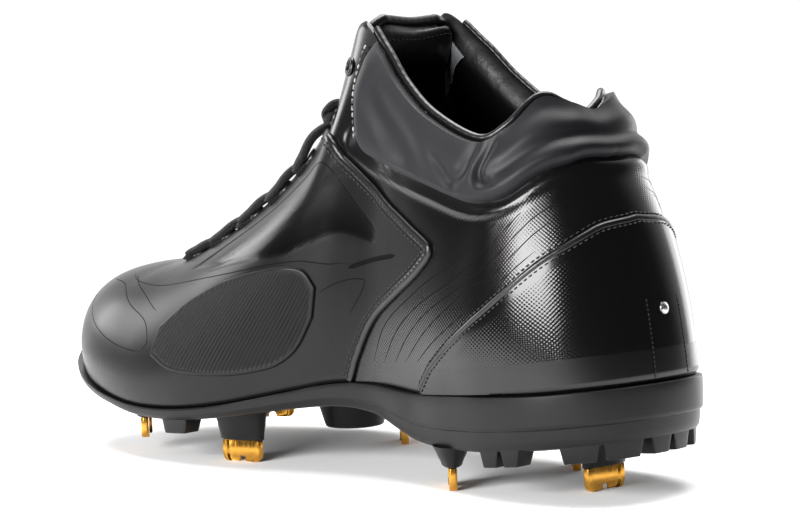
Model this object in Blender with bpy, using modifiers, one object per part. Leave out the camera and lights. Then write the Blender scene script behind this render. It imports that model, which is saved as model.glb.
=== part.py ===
"""Mid-cut baseball cleat for the right foot, standing empty on its metal blades.

The frame is +Y to the toe, +X to the wearer's right (the outer side of the foot) and +Z up.
Every form follows the upper's own function, surface(station, share), which runs round the foot
from station 0 at the heel, along the inner (medial) side to the toe and back along the outer
(lateral) side, and from share 0 at the sole's edge to share 1 at the opening.
"""

import math

import bmesh
import bpy
import numpy as np
from mathutils import Matrix, Vector

# Driving sizes in metres
SOLE_LENGTH = 0.305
BALL_WIDTH = 0.104
HEEL_WIDTH = 0.076
HEEL_STACK = 0.0375
HEEL_COLLAR_HEIGHT = 0.095
CUFF_HEIGHT = 0.1225
INSTEP_HEIGHT = 0.0885
COLLAR_WIDTH = 0.058
THROAT_WIDTH = 0.032

# Walls, overlays and clearances
GAP = 0.0003
UPPER_WALL = 0.0022
VAMP_THICKNESS = 0.0010
VAMP_EDGE_LIFT = 0.0007
COUNTER_THICKNESS = 0.0012
GUARD_THICKNESS = 0.0010
PAD_THICKNESS = 0.0042
TONGUE_THICKNESS = 0.0050
TONGUE_CLEARANCE = 0.0010
INSOLE_THICKNESS = 0.0040
INSOLE_CLEARANCE = 0.0009
PIPING_DIAMETER = 0.0026

# Sole, lugs and blades
RIM_WIDTH = 0.0026
TOE_BUMPER = 0.0045
HEEL_WALL = 0.0192
LUG_HEIGHT = 0.0050
LUG_WIDTH = 0.0090
LUG_TAPER = 0.0014
BOSS_DIAMETER = 0.0250
BLADE_WIDTH = 0.0180
BLADE_THICKNESS = 0.0028
BLADE_HEIGHT = 0.0078
BLADE_NOTCH = 0.0030
STUD_ROOT = 0.0010

# Lacing
EYELET_COUNT = 7
EYELET_PITCH = 0.0205
EYELET_HOLE = 0.0044
EYELET_RIM = 0.0014
EYELET_HEIGHT = 0.0008
LACE_DIAMETER = 0.0042

LABEL_WIDTH = 0.016
LABEL_HEIGHT = 0.013
LABEL_THICKNESS = 0.0005
RIVET_DIAMETER = 0.0040
RIVET_HEIGHT = 0.0010

TOP_SIZES = {"collar": HEEL_COLLAR_HEIGHT, "cuff": CUFF_HEIGHT, "instep": INSTEP_HEIGHT}
OPENING_SIZES = {"collar": COLLAR_WIDTH / 2, "throat": THROAT_WIDTH / 2}

# One row for each section of the upper. along and top_along are shares of the sole's length, of_heel
# and of_ball are shares of half those widths, opening is a share of half the named opening and top a
# share of the named height. rise and drop are the profile's lower and upper handles as shares of the
# instep height, lean and roll their tilts outward in degrees.
SECTION = ("name", "along", "of_heel", "of_ball", "top_along", "opening", "of", "top", "height",
           "rise", "lean", "drop", "roll")
MEDIAL = (
    ("heel back",   0.009, 0.00, 0.00, 0.108, 0.00, "collar", 0.937, "collar", 0.38, -5, 0.34, 40),
    ("heel corner", 0.027, 0.55, 0.00, 0.114, 0.31, "collar", 0.972, "collar", 0.38, -3, 0.34, 36),
    ("heel side",   0.088, 0.88, 0.00, 0.130, 0.55, "collar", 0.995, "collar", 0.38,  4, 0.34, 28),
    ("heel seat",   0.162, 0.95, 0.00, 0.150, 0.86, "collar", 0.900, "collar", 0.36, 10, 0.32, 16),
    ("ankle",       0.231, 0.89, 0.00, 0.187, 1.00, "collar", 0.853, "collar", 0.34, 12, 0.30, 10),
    ("cuff back",   0.290, 0.76, 0.04, 0.256, 1.02, "collar", 0.730, "cuff",   0.34,  8, 0.34,  8),
    ("cuff side",   0.344, 0.55, 0.16, 0.308, 0.95, "collar", 0.820, "cuff",   0.34,  4, 0.41,  8),
    ("cuff rise",   0.393, 0.30, 0.33, 0.349, 0.86, "collar", 0.920, "cuff",   0.34,  0, 0.47,  8),
    ("cuff corner", 0.443, 0.12, 0.49, 0.393, 0.76, "collar", 1.000, "cuff",   0.34,  0, 0.52, 12),
    ("top eyelet",  0.492, 0.03, 0.61, 0.426, 1.25, "throat", 0.895, "cuff",   0.34,  2, 0.45, 25),
    ("waist",       0.546, 0.00, 0.72, 0.465, 1.12, "throat", 1.000, "instep", 0.32,  6, 0.38, 42),
    ("joint",       0.610, 0.00, 0.83, 0.534, 1.00, "throat", 0.785, "instep", 0.29, 12, 0.34, 55),
    ("ball",        0.684, 0.00, 0.90, 0.623, 0.91, "throat", 0.600, "instep", 0.27, 16, 0.32, 64),
    ("toe joint",   0.772, 0.00, 0.89, 0.710, 0.81, "throat", 0.455, "instep", 0.26, 16, 0.32, 72),
    ("toe side",    0.866, 0.00, 0.77, 0.765, 0.69, "throat", 0.390, "instep", 0.28, 14, 0.34, 80),
    ("toe corner",  0.934, 0.00, 0.57, 0.787, 0.50, "throat", 0.375, "instep", 0.27, 10, 0.36, 86),
    ("toe front",   0.974, 0.00, 0.32, 0.795, 0.25, "throat", 0.368, "instep", 0.26,  6, 0.40, 89),
    ("toe tip",     0.985, 0.00, 0.08, 0.797, 0.12, "throat", 0.368, "instep", 0.26,  4, 0.42, 89),
)
LATERAL = (
    ("heel back",   0.009, 0.00, 0.00, 0.108, 0.00, "collar", 0.937, "collar", 0.38, -5, 0.34, 40),
    ("heel corner", 0.027, 0.55, 0.00, 0.114, 0.31, "collar", 0.972, "collar", 0.38, -3, 0.34, 36),
    ("heel side",   0.088, 0.90, 0.00, 0.130, 0.55, "collar", 0.995, "collar", 0.38,  4, 0.34, 28),
    ("heel seat",   0.162, 0.98, 0.00, 0.150, 0.86, "collar", 0.900, "collar", 0.36, 10, 0.32, 16),
    ("ankle",       0.231, 1.00, 0.00, 0.187, 1.00, "collar", 0.853, "collar", 0.34, 14, 0.30, 10),
    ("cuff back",   0.290, 0.95, 0.05, 0.256, 1.02, "collar", 0.730, "cuff",   0.34, 12, 0.34,  8),
    ("cuff side",   0.344, 0.75, 0.22, 0.308, 0.95, "collar", 0.820, "cuff",   0.34, 10, 0.41,  8),
    ("cuff rise",   0.393, 0.50, 0.45, 0.352, 0.88, "collar", 0.920, "cuff",   0.32, 10, 0.47,  8),
    ("cuff corner", 0.443, 0.25, 0.68, 0.408, 0.80, "collar", 1.015, "cuff",   0.30, 10, 0.52, 12),
    ("top eyelet",  0.492, 0.08, 0.84, 0.432, 1.25, "throat", 0.900, "cuff",   0.28, 12, 0.45, 25),
    ("waist",       0.546, 0.00, 0.96, 0.465, 1.12, "throat", 1.000, "instep", 0.26, 14, 0.38, 42),
    ("joint",       0.605, 0.00, 1.02, 0.534, 1.00, "throat", 0.785, "instep", 0.25, 18, 0.34, 55),
    ("ball",        0.674, 0.00, 1.03, 0.623, 0.91, "throat", 0.600, "instep", 0.24, 18, 0.32, 64),
    ("toe joint",   0.752, 0.00, 0.94, 0.710, 0.81, "throat", 0.455, "instep", 0.24, 18, 0.32, 72),
    ("toe side",    0.836, 0.00, 0.76, 0.765, 0.60, "throat", 0.390, "instep", 0.26, 14, 0.34, 80),
    ("toe corner",  0.913, 0.00, 0.50, 0.787, 0.35, "throat", 0.375, "instep", 0.26, 10, 0.36, 86),
    ("toe front",   0.966, 0.00, 0.20, 0.795, 0.05, "throat", 0.368, "instep", 0.26,  6, 0.40, 89),
    ("toe tip",     0.985, 0.00, -0.08, 0.797, -0.12, "throat", 0.368, "instep", 0.26, 4, 0.42, 89),
)

# Height of the sole's top edge along the foot: share of the length, share of the heel stack
DECK = ((-0.10, 1.080), (0.00, 1.035), (0.095, 0.955), (0.20, 0.895), (0.29, 0.850), (0.37, 0.893),
        (0.44, 0.865), (0.52, 0.740), (0.60, 0.610), (0.68, 0.535), (0.76, 0.530), (0.84, 0.605),
        (0.90, 0.715), (0.95, 0.860), (1.00, 1.030), (1.05, 1.200))
# Height of the sole's side wall along the foot: share of the length, share of the heel wall
SIDE_WALL = ((-0.10, 0.98), (0.10, 0.97), (0.20, 1.00), (0.27, 0.94), (0.31, 0.86), (0.34, 0.74),
             (0.37, 0.60), (0.41, 0.50), (0.47, 0.41), (0.51, 0.35), (0.60, 0.27), (0.70, 0.235),
             (0.80, 0.20), (0.90, 0.17), (1.05, 0.17))

# The edges of the overlays on the upper's own function
# Back edge of the vamp, on either side: share up the wall, station
VAMP_EDGE = ((0.00, 7.35), (0.10, 7.10), (0.22, 6.60), (0.34, 5.65), (0.46, 4.85), (0.56, 4.68),
             (0.61, 5.70), (0.65, 7.85), (0.74, 8.80), (0.86, 9.60), (1.00, 10.20))
# Top edge of the heel counter: station, share up the wall
COUNTER_EDGE = ((0.0, 0.570), (0.8, 0.535), (1.5, 0.465), (2.3, 0.385), (3.0, 0.310), (3.8, 0.215),
                (4.5, 0.110), (4.9, 0.030))
# Lower edge of the collar pad: station, share up the wall
PAD_EDGE = ((0.0, 0.805), (0.7, 0.785), (1.2, 0.750), (2.3, 0.690), (3.1, 0.720), (4.0, 0.755),
            (4.8, 0.760), (6.0, 0.735), (7.1, 0.700), (7.9, 0.705))
# Front edge of the collar pad: share up the pad, station
PAD_FRONT = ((0.0, 7.60), (0.4, 7.85), (0.75, 7.60), (1.0, 7.25))
# Side guard: station, lower and upper share of the wall
GUARD = ((8.6, 0.240, 0.330), (9.0, 0.150, 0.390), (9.5, 0.110, 0.435), (10.0, 0.105, 0.470),
         (10.5, 0.115, 0.500), (11.0, 0.135, 0.525), (11.5, 0.160, 0.535), (12.0, 0.200, 0.500),
         (12.4, 0.270, 0.410))
EYELET_SHARE = 0.93
PIPING_END = 7.5

# Levels of the upper's wall, the same in the overlays so that their facets stay parallel
LEVELS = (0.0, 0.10, 0.22, 0.34, 0.46, 0.56, 0.61, 0.65, 0.74, 0.86, 1.0)
TOE_STATION = len(MEDIAL) - 1
STATIONS = 2 * TOE_STATION
STEPS = 2

# Lugs along the sole's edge: first and last station of each, heel first, then the forefoot
LUGS = ((2.83, 3.24), (2.42, 2.79), (1.16, 1.76), (0.44, 1.12), (-0.14, 0.30), (-0.62, -0.18),
        (-1.40, -0.80), (-1.86, -1.44), (-2.79, -2.42), (-3.24, -2.83),
        (11.68, 12.25), (-12.40, -11.80), (-10.50, -9.90))
# Blade mount from its foot up: share of the height, half length and half width as shares of the blade
MOUNT_PROFILE = ((0.0, 0.55, 0.22), (0.55, 0.60, 0.29), (1.0, 0.78, 0.52))
MOUNT_SIDES = 12
# Round boss under the middle of the forefoot: share of its height, share of its radius
BOSS_PROFILE = ((0.0, 0.84), (0.25, 0.94), (1.0, 1.10))
# Blades: name, share of the length, share of half a width, that width, turn in degrees, foot height
BLADE = ("name", "along", "across", "of", "turn", "foot")
BLADES = (
    ("toe_medial",   0.800, -0.62, BALL_WIDTH, -42, 0.0055),
    ("toe_lateral",  0.785,  0.52, BALL_WIDTH,  42, 0.0055),
    ("ball_medial",  0.616, -0.58, BALL_WIDTH,  12, 0.0000),
    ("ball_lateral", 0.558,  0.67, BALL_WIDTH, -40, 0.0000),
    ("heel_medial",  0.256, -0.70, HEEL_WIDTH, -42, 0.0000),
    ("heel_lateral", 0.235,  0.72, HEEL_WIDTH, -42, 0.0000),
    ("heel_rear",    0.106,  0.02, HEEL_WIDTH,  90, 0.0000),
)
BOSS = ("forefoot", 0.551, 0.16, BALL_WIDTH, 0, 0.0100)

FINISHES = {
    # slot: sRGB colour, roughness, metallic
    "matte_leather": ((0.050, 0.050, 0.054), 0.50, 0.0),
    "gloss_leather": ((0.025, 0.025, 0.028), 0.22, 0.0),
    "collar_leather": ((0.060, 0.058, 0.066), 0.60, 0.0),
    "guard_rubber": ((0.020, 0.020, 0.022), 0.45, 0.0),
    "sole_plastic": ((0.028, 0.028, 0.030), 0.35, 0.0),
    "foam_cloth": ((0.030, 0.030, 0.032), 0.90, 0.0),
    "lace_cloth": ((0.016, 0.016, 0.017), 0.95, 0.0),
    "label_cloth": ((0.480, 0.490, 0.500), 0.85, 0.0),
    "gold_metal": ((0.900, 0.560, 0.140), 0.22, 1.0),
    "steel": ((0.750, 0.750, 0.760), 0.25, 1.0),
}


def smooth_through(points, at):
    """A smooth curve through evenly counted points, read at positions from 0 to the last one."""
    rows = np.asarray(points, float)
    rows = np.concatenate([[2 * rows[0] - rows[1]], rows, [2 * rows[-1] - rows[-2]]])
    at = np.clip(np.asarray(at, float), 0, len(rows) - 3 - 1e-9)
    step = at.astype(int)
    part = (at - step).reshape(at.shape + (1,) * (rows.ndim - 1))
    return blend_four(rows[step], rows[step + 1], rows[step + 2], rows[step + 3], part)


def blend_four(before, start, end, after, part):
    """Catmull-Rom blend from start to end."""
    bend = 2 * before - 5 * start + 4 * end - after
    twist = 3 * (start - end) + after - before
    return start + 0.5 * part * ((end - before) + part * (bend + part * twist))


def along_table(table, at):
    """A smooth value from a table of (place, value) rows."""
    places, values = np.array(table, float).T
    return smooth_through(values, np.interp(at, places, np.arange(len(places))))


def deck_height(y):
    """Height of the sole's top edge at y."""
    return along_table(DECK, np.asarray(y) / SOLE_LENGTH) * HEEL_STACK


def wall_height(y):
    """Height of the sole's side wall at y."""
    return along_table(SIDE_WALL, np.asarray(y) / SOLE_LENGTH) * HEEL_WALL


def section_handles(table, side):
    """Four Bezier points for each section of one side, from the sole's edge to the opening."""
    rows = [dict(zip(SECTION, row)) for row in table]
    foot, top = [], []
    for row in rows:
        x = side * (row["of_heel"] * HEEL_WIDTH + row["of_ball"] * BALL_WIDTH) / 2
        y = row["along"] * SOLE_LENGTH
        foot.append((x, y, float(deck_height(y)) + GAP))
        top.append((side * row["opening"] * OPENING_SIZES[row["of"]], row["top_along"] * SOLE_LENGTH,
                    HEEL_STACK + row["top"] * TOP_SIZES[row["height"]]))
    foot, top = np.array(foot), np.array(top)
    run = np.gradient(foot[:, :2], axis=0)
    out = np.stack([side * run[:, 1], -side * run[:, 0], np.zeros(len(run))], 1)
    out[0], out[-1] = (0, -1, 0), (0, 1, 0)
    out /= np.linalg.norm(out, axis=1)[:, None]
    up = np.array((0.0, 0.0, 1.0))
    handles = []
    for row, low, high, away in zip(rows, foot, top, out):
        lean, roll = math.radians(row["lean"]), math.radians(row["roll"])
        rise = row["rise"] * INSTEP_HEIGHT * (math.sin(lean) * away + math.cos(lean) * up)
        drop = row["drop"] * INSTEP_HEIGHT * (math.sin(roll) * away - math.cos(roll) * up)
        handles.append((low, low + rise, high + drop, high))
    return np.array(handles)


def ring_of_sections():
    """Sections round the whole foot: heel, medial side, toe, lateral side."""
    medial = section_handles(MEDIAL, -1)
    lateral = section_handles(LATERAL, 1)
    medial[-1] = (medial[-1] + lateral[-1]) / 2
    return np.concatenate([medial, lateral[-2:0:-1]])


SECTIONS = ring_of_sections()


def surface(station, share):
    """Outer face of the upper."""
    station, share = np.broadcast_arrays(np.asarray(station, float), np.asarray(share, float))
    step = np.floor(station).astype(int)
    part = (station - step)[..., None, None]
    near = [SECTIONS[(step + shift) % STATIONS] for shift in (-1, 0, 1, 2)]
    points = blend_four(*near, part)
    up = share[..., None]
    down = 1 - up
    return (down ** 3 * points[..., 0, :] + 3 * down ** 2 * up * points[..., 1, :]
            + 3 * down * up ** 2 * points[..., 2, :] + up ** 3 * points[..., 3, :])


def outward(station, share):
    """Unit normal of the upper's outer face."""
    tiny = 0.01
    low, high = np.maximum(np.asarray(share) - tiny, 0), np.minimum(np.asarray(share) + tiny, 1)
    across = surface(np.asarray(station) + tiny, share) - surface(np.asarray(station) - tiny, share)
    up = surface(station, high) - surface(station, low)
    normal = np.cross(up, across)
    return normal / np.linalg.norm(normal, axis=-1)[..., None]


def raised(station, share, height):
    """A point over the upper's outer face, or under it with a negative height."""
    point = surface(station, share)
    return point + outward(station, share) * np.broadcast_to(height, point.shape[:-1])[..., None]


def over_facets(station, share, height):
    """A point over the flat facets of the upper, which overlays follow so that they stay clear."""
    station, share = np.broadcast_arrays(np.asarray(station, float), np.asarray(share, float))
    column = np.floor(station * STEPS) / STEPS
    level = np.clip(np.searchsorted(LEVELS, share, side="right") - 1, 0, len(LEVELS) - 2)
    low, high = np.array(LEVELS)[level], np.array(LEVELS)[level + 1]
    across = ((station - column) * STEPS)[..., None]
    up = ((share - low) / (high - low))[..., None]
    return ((raised(column, low, height) * (1 - up) + raised(column, high, height) * up) * (1 - across)
            + (raised(column + 1 / STEPS, low, height) * (1 - up)
               + raised(column + 1 / STEPS, high, height) * up) * across)


def stations_between(first, last):
    """Stations at the upper's own columns, from first to last."""
    return np.arange(round(first * STEPS), round(last * STEPS) + 1) / STEPS


def outline(station, offset):
    """Plan outline of the sole's edge, moved outward by offset."""
    station = np.asarray(station, float)
    tiny = 0.05
    run = surface(station + tiny, 0)[..., :2] - surface(station - tiny, 0)[..., :2]
    out = np.stack([-run[..., 1], run[..., 0]], -1)
    out /= np.linalg.norm(out, axis=-1)[..., None]
    return surface(station, 0)[..., :2] + out * np.asarray(offset)[..., None]


class Model:
    """The collections and finishes that every piece shares."""

    def __init__(self):
        for old in list(bpy.data.objects):
            bpy.data.objects.remove(old)
        self.parts = bpy.data.collections.new("baseball_cleat")
        self.cutters = bpy.data.collections.new("cutters")
        for collection in (self.parts, self.cutters):
            bpy.context.scene.collection.children.link(collection)
        self.finishes = {slot: make_finish(slot, *values) for slot, values in FINISHES.items()}
        self.root = bpy.data.objects.new("cleat_root", None)
        self.parts.objects.link(self.root)

    def add(self, name, mesh, slot, at=None):
        """A named piece under the root, with its finish."""
        piece = bpy.data.objects.new(name, mesh)
        self.parts.objects.link(piece)
        piece.parent = self.root
        if at is not None:
            piece.matrix_basis = at
        mesh.materials.clear()
        mesh.materials.append(self.finishes[slot])
        return piece

    def tool(self, name, mesh, at=None):
        """A hidden body that joins or cuts a piece."""
        body = bpy.data.objects.new(name, mesh)
        self.cutters.objects.link(body)
        body.parent = self.root
        if at is not None:
            body.matrix_basis = at
        body.hide_render = True
        body.display_type = "WIRE"
        return body


def make_finish(slot, colour, roughness, metallic):
    material = bpy.data.materials.new(slot)
    material.use_nodes = True
    shader = material.node_tree.nodes["Principled BSDF"]
    linear = [value / 12.92 if value <= 0.04045 else ((value + 0.055) / 1.055) ** 2.4 for value in colour]
    shader.inputs["Base Color"].default_value = (*linear, 1.0)
    shader.inputs["Roughness"].default_value = roughness
    shader.inputs["Metallic"].default_value = metallic
    return material


def mesh_from(name, bm, merge=1e-6):
    """A clean mesh from bmesh, with doubles and empty faces gone."""
    bmesh.ops.remove_doubles(bm, verts=bm.verts, dist=merge)
    bmesh.ops.dissolve_degenerate(bm, edges=bm.edges, dist=merge)
    mesh = bpy.data.meshes.new(name)
    bm.to_mesh(mesh)
    bm.free()
    mesh.shade_smooth()
    mesh.set_sharp_from_angle(angle=math.radians(40))
    return mesh


def grid_faces(bm, points, closed=False):
    """Quads over a grid of points, counted round the foot first; they face outward."""
    verts = [[bm.verts.new(point) for point in row] for row in points]
    count = len(verts)
    for i in range(count if closed else count - 1):
        near, far = verts[i], verts[(i + 1) % count]
        for j in range(len(near) - 1):
            bm.faces.new((near[j], near[j + 1], far[j + 1], far[j]))
    return verts


def shell(model, name, slot, points, thickness, inward, closed=False):
    """An open sheet over the foot's form, thickened to one side by Solidify."""
    bm = bmesh.new()
    grid_faces(bm, points, closed)
    piece = model.add(name, mesh_from(name, bm), slot)
    wall = piece.modifiers.new("wall", "SOLIDIFY")
    wall.thickness = thickness
    wall.offset = -1 if inward else 1
    return piece


def padded(model, name, slot, outer, inner):
    """A closed body between two grids of points that have the same layout."""
    bm = bmesh.new()
    front = grid_faces(bm, outer)
    back = grid_faces(bm, inner)
    bmesh.ops.reverse_faces(bm, faces=[face for face in bm.faces if face.verts[0] in
                                       {vert for row in back for vert in row}])
    rim = rim_of(front), rim_of(back)
    for k in range(len(rim[0])):
        after = (k + 1) % len(rim[0])
        bm.faces.new((rim[0][k], rim[0][after], rim[1][after], rim[1][k]))
    bmesh.ops.remove_doubles(bm, verts=bm.verts, dist=1e-6)
    bmesh.ops.recalc_face_normals(bm, faces=bm.faces)
    return model.add(name, mesh_from(name, bm), slot)


def rim_of(verts):
    """The border of a grid of vertices, in order."""
    return (verts[0] + [row[-1] for row in verts[1:-1]] + verts[-1][::-1]
            + [row[0] for row in verts[-2:0:-1]])


def unite(piece, tools, operation="UNION"):
    """Join or cut a piece with hidden bodies."""
    for tool in tools:
        modifier = piece.modifiers.new(tool.name, "BOOLEAN")
        modifier.operation = operation
        modifier.object = tool


def upper(model):
    """The hollow upper, open at collar and throat and underneath."""
    stations = stations_between(0, STATIONS)[:-1]
    points = surface(stations[:, None], np.array(LEVELS)[None])
    return shell(model, "upper", "gloss_leather", points, UPPER_WALL, inward=True, closed=True)


def vamp(model):
    """Matte front panel over the toe and both sides, back to its stitched edge."""
    edge = along_table(VAMP_EDGE, np.array(LEVELS))
    stations = stations_between(math.floor(edge.min()), STATIONS - math.floor(edge.min()))
    places = np.clip(stations[:, None], edge[None], STATIONS - edge[None])
    lifted = np.isclose(places, edge[None]) | np.isclose(places, STATIONS - edge[None])
    points = over_facets(places, np.array(LEVELS)[None], np.where(lifted, GAP + VAMP_EDGE_LIFT, GAP))
    return shell(model, "vamp", "matte_leather", points, VAMP_THICKNESS, inward=False)


def counter(model):
    """Glossy heel counter with its swept top edge."""
    reach = COUNTER_EDGE[-1][0]
    stations = np.concatenate([[-reach], stations_between(math.ceil(-reach), math.floor(reach)), [reach]])
    tops = along_table(COUNTER_EDGE, abs(stations))
    shares = np.linspace(0, 1, 6)[None] * tops[:, None]
    points = over_facets(stations[:, None], shares, 1.4 * GAP)
    return shell(model, "heel_counter", "gloss_leather", points, COUNTER_THICKNESS, inward=False)


def collar_pad(model):
    """Padded cuff round the ankle, from its lower seam to the opening."""
    rise = np.linspace(0, 1, 7)
    front = along_table(PAD_FRONT, rise)
    stations = stations_between(-8, 8)
    places = np.clip(stations[:, None], -front[None], front[None])
    low = along_table(PAD_EDGE, abs(places))
    shares = low + (1 - low) * rise[None]
    swell = np.sin(math.pi * (0.07 + 0.80 * rise)) ** 0.7 * PAD_THICKNESS
    ends = np.minimum(1, (front[None] - abs(places)) * 1.2 + 0.35)
    heights = GAP + swell[None] * ends
    outer = over_facets(places, shares, heights)
    inner = over_facets(places, shares, GAP)
    return padded(model, "collar_pad", "collar_leather", outer, inner)


def side_guard(model, side):
    """Raised ribbed guard on the side of the forefoot."""
    table = np.array(GUARD)
    stations = table[:, 0]
    rise = np.linspace(0, 1, 4)
    shares = table[:, 1, None] + (table[:, 2] - table[:, 1])[:, None] * rise[None]
    base = VAMP_THICKNESS + 3.3 * GAP
    if side > 0:
        stations, shares = -stations[::-1], shares[::-1]
    points = over_facets(stations[:, None], shares, base)
    name = "side_guard_" + ("lateral" if side > 0 else "medial")
    return shell(model, name, "guard_rubber", points, GUARD_THICKNESS, inward=False)


def ladder(offset, height, across=2):
    """Rungs from the medial to the lateral edge of the sole, offset from its outline."""
    stations = stations_between(0, TOE_STATION)
    near, far = outline(stations, offset), outline(-stations, offset)
    share = np.linspace(0, 1, across + 1)[None, :, None]
    plan = near[:, None] * (1 - share) + far[:, None] * share
    return np.concatenate([plan, height(plan[..., 1])[..., None]], -1)


def insole(model):
    """Foam insole lying on the sole inside the upper."""
    inset = -(UPPER_WALL + INSOLE_CLEARANCE)
    low = ladder(inset, lambda y: deck_height(y) + GAP)
    high = ladder(inset, lambda y: deck_height(y) + GAP + INSOLE_THICKNESS)
    return padded(model, "insole", "foam_cloth", high, low)


def outsole(model):
    """One-piece moulded sole: rim, toe bumper, heel wall with its step, lugs and blade mounts."""
    stations = stations_between(0, STATIONS)[:-1]
    spread = np.interp(surface(stations, 0)[:, 1] / SOLE_LENGTH, (0.80, 1.0), (0, 1))
    rim = RIM_WIDTH + (TOE_BUMPER - RIM_WIDTH) * spread
    # one row for each edge of the side wall: share of the rim's width, metres inward, share of the wall
    edges = ((0.15, 0.0, 0.00), (0.95, 0.0, 0.02), (1.00, 0.0, 0.12), (0.90, 0.0, 0.58),
             (0.55, 0.0, 0.64), (0.30, 0.0, 0.92), (0.00, 0.0022, 1.00))
    rings = []
    for share, inset, drop in edges:
        plan = outline(stations, rim * share - inset)
        level = deck_height(surface(stations, 0)[:, 1]) - wall_height(plan[:, 1]) * drop
        rings.append(np.concatenate([plan, level[:, None]], 1))
    bm = bmesh.new()
    columns = np.array(rings).transpose(1, 0, 2)[:, ::-1]
    verts = grid_faces(bm, columns, closed=True)
    cap_ladder(bm, [column[-1] for column in verts], 1, deck_height)
    cap_ladder(bm, [column[0] for column in verts], -1, lambda y: deck_height(y) - wall_height(y))
    bmesh.ops.recalc_face_normals(bm, faces=bm.faces)
    sole = model.add("outsole", mesh_from("outsole", bm), "sole_plastic")
    studs = [lug(model, k, *ends) for k, ends in enumerate(LUGS)]
    studs += [mount(model, dict(zip(BLADE, row))) for row in BLADES]
    unite(sole, studs + [boss(model)])
    return sole


def cap_ladder(bm, ring, facing, height, across=2):
    """Close a ring with rungs from its medial to its lateral half, at the given height."""
    count = len(ring)
    rungs = []
    for k in range(count // 2 + 1):
        near, far = ring[k], ring[-k % count]
        if near is far:
            rungs.append([near])
            continue
        inner = [bm.verts.new(near.co.lerp(far.co, j / across)) for j in range(1, across)]
        for vert in inner:
            vert.co.z = float(height(vert.co.y))
        rungs.append([near] + inner + [far])
    for this, after in zip(rungs, rungs[1:]):
        for j in range(across):
            corners = []
            for vert in (this[min(j, len(this) - 1)], this[min(j + 1, len(this) - 1)],
                         after[min(j + 1, len(after) - 1)], after[min(j, len(after) - 1)]):
                if vert not in corners:
                    corners.append(vert)
            bm.faces.new(corners[::facing])


def under_sole(y):
    """Height of the sole's underside at a place along the foot."""
    return float(deck_height(y) - wall_height(y))


def stand_at(row):
    """Place of a lug or a blade in plan, turned about the vertical."""
    spot = Matrix.Translation((row["across"] * row["of"] / 2, row["along"] * SOLE_LENGTH, 0))
    return spot @ Matrix.Rotation(math.radians(row["turn"]), 4, "Z")


def lug(model, index, first, last):
    """A tapered lug that follows the sole's edge, sunk into the underside so that it joins."""
    taper = LUG_TAPER / np.linalg.norm(surface(last, 0) - surface(first, 0)) * (last - first)
    bm = bmesh.new()
    rings = []
    for station, inset in zip(np.linspace(first, last, 3), (taper, 0, -taper)):
        ring = []
        for depth, foot in ((0.0, True), (0.0, False), (LUG_WIDTH, False), (LUG_WIDTH, True)):
            edge = depth + (LUG_TAPER * (0.3 if depth == 0 else -1.0) if foot else 0)
            x, y = outline(station + (inset if foot else 0), -edge)
            ring.append(bm.verts.new((x, y, under_sole(y) + (-LUG_HEIGHT if foot else STUD_ROOT))))
        rings.append(ring)
    for this, after in zip(rings, rings[1:]):
        for k in range(4):
            bm.faces.new((this[k], this[k - 1], after[k - 1], after[k]))
    bm.faces.new(rings[0])
    bm.faces.new(rings[-1])
    bmesh.ops.recalc_face_normals(bm, faces=bm.faces)
    return model.tool(f"lug_{index}", mesh_from("lug", bm))


def mount(model, row):
    """Flared oval boss that carries a blade."""
    profile = [(share, length * BLADE_WIDTH, width * BLADE_WIDTH) for share, length, width in MOUNT_PROFILE]
    return stud(model, row, row["foot"] + BLADE_HEIGHT, profile)


def boss(model):
    """Plain round boss under the middle of the forefoot."""
    row = dict(zip(BLADE, BOSS))
    profile = [(share, radius * BOSS_DIAMETER / 2, radius * BOSS_DIAMETER / 2)
               for share, radius in BOSS_PROFILE]
    return stud(model, row, row["foot"], profile)


def stud(model, row, foot, profile):
    """An oval body from its foot to the sole's underside; the profile has share, half length, half width."""
    at = stand_at(row)
    bm = bmesh.new()
    rings = []
    for share, half_length, half_width in profile:
        ring = []
        for k in range(MOUNT_SIDES):
            turn = 2 * math.pi * k / MOUNT_SIDES
            spot = Vector((half_width * math.sin(turn), half_length * math.cos(turn), 0))
            top = under_sole((at @ spot).y) + STUD_ROOT
            spot.z = foot + (top - foot) * share
            ring.append(bm.verts.new(spot))
        rings.append(ring)
    for low, high in zip(rings, rings[1:]):
        for k in range(MOUNT_SIDES):
            after = (k + 1) % MOUNT_SIDES
            bm.faces.new((low[k], low[after], high[after], high[k]))
    bm.faces.new(rings[0])
    bm.faces.new(rings[-1])
    bmesh.ops.recalc_face_normals(bm, faces=bm.faces)
    return model.tool("mount_" + row["name"], mesh_from("mount", bm), at)


def blade(model, row):
    """Metal blade with a notched foot, standing under its mount."""
    half, notch = BLADE_WIDTH / 2, BLADE_NOTCH / 2
    curve = bpy.data.curves.new("blade_outline", "CURVE")
    curve.dimensions = "2D"
    curve.fill_mode = "BOTH"
    curve.extrude = BLADE_THICKNESS / 2
    corner = half * 0.22
    points = [(-half, BLADE_HEIGHT), (-half * 0.92, corner), (-half * 0.92 + corner, 0)]
    points += [(-notch * 1.5, 0), (-notch, BLADE_NOTCH * 0.8), (0, BLADE_NOTCH * 1.15)]
    points += [(-px, py) for px, py in reversed(points[:-1])]
    spline = curve.splines.new("POLY")
    spline.points.add(len(points) - 1)
    for spot, (px, py) in zip(spline.points, points):
        spot.co = (px, py, 0, 1)
    spline.use_cyclic_u = True
    mesh = curve_to_mesh(model, curve, "blade_" + row["name"])
    # the outline's X becomes the blade's length and its Y the height
    stand = Matrix(((0, 0, 1, 0), (1, 0, 0, 0), (0, 1, 0, 0), (0, 0, 0, 1)))
    at = stand_at(row) @ Matrix.Translation((0, 0, row["foot"] - GAP)) @ stand
    return model.add("blade_" + row["name"], mesh, "gold_metal", at)


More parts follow.
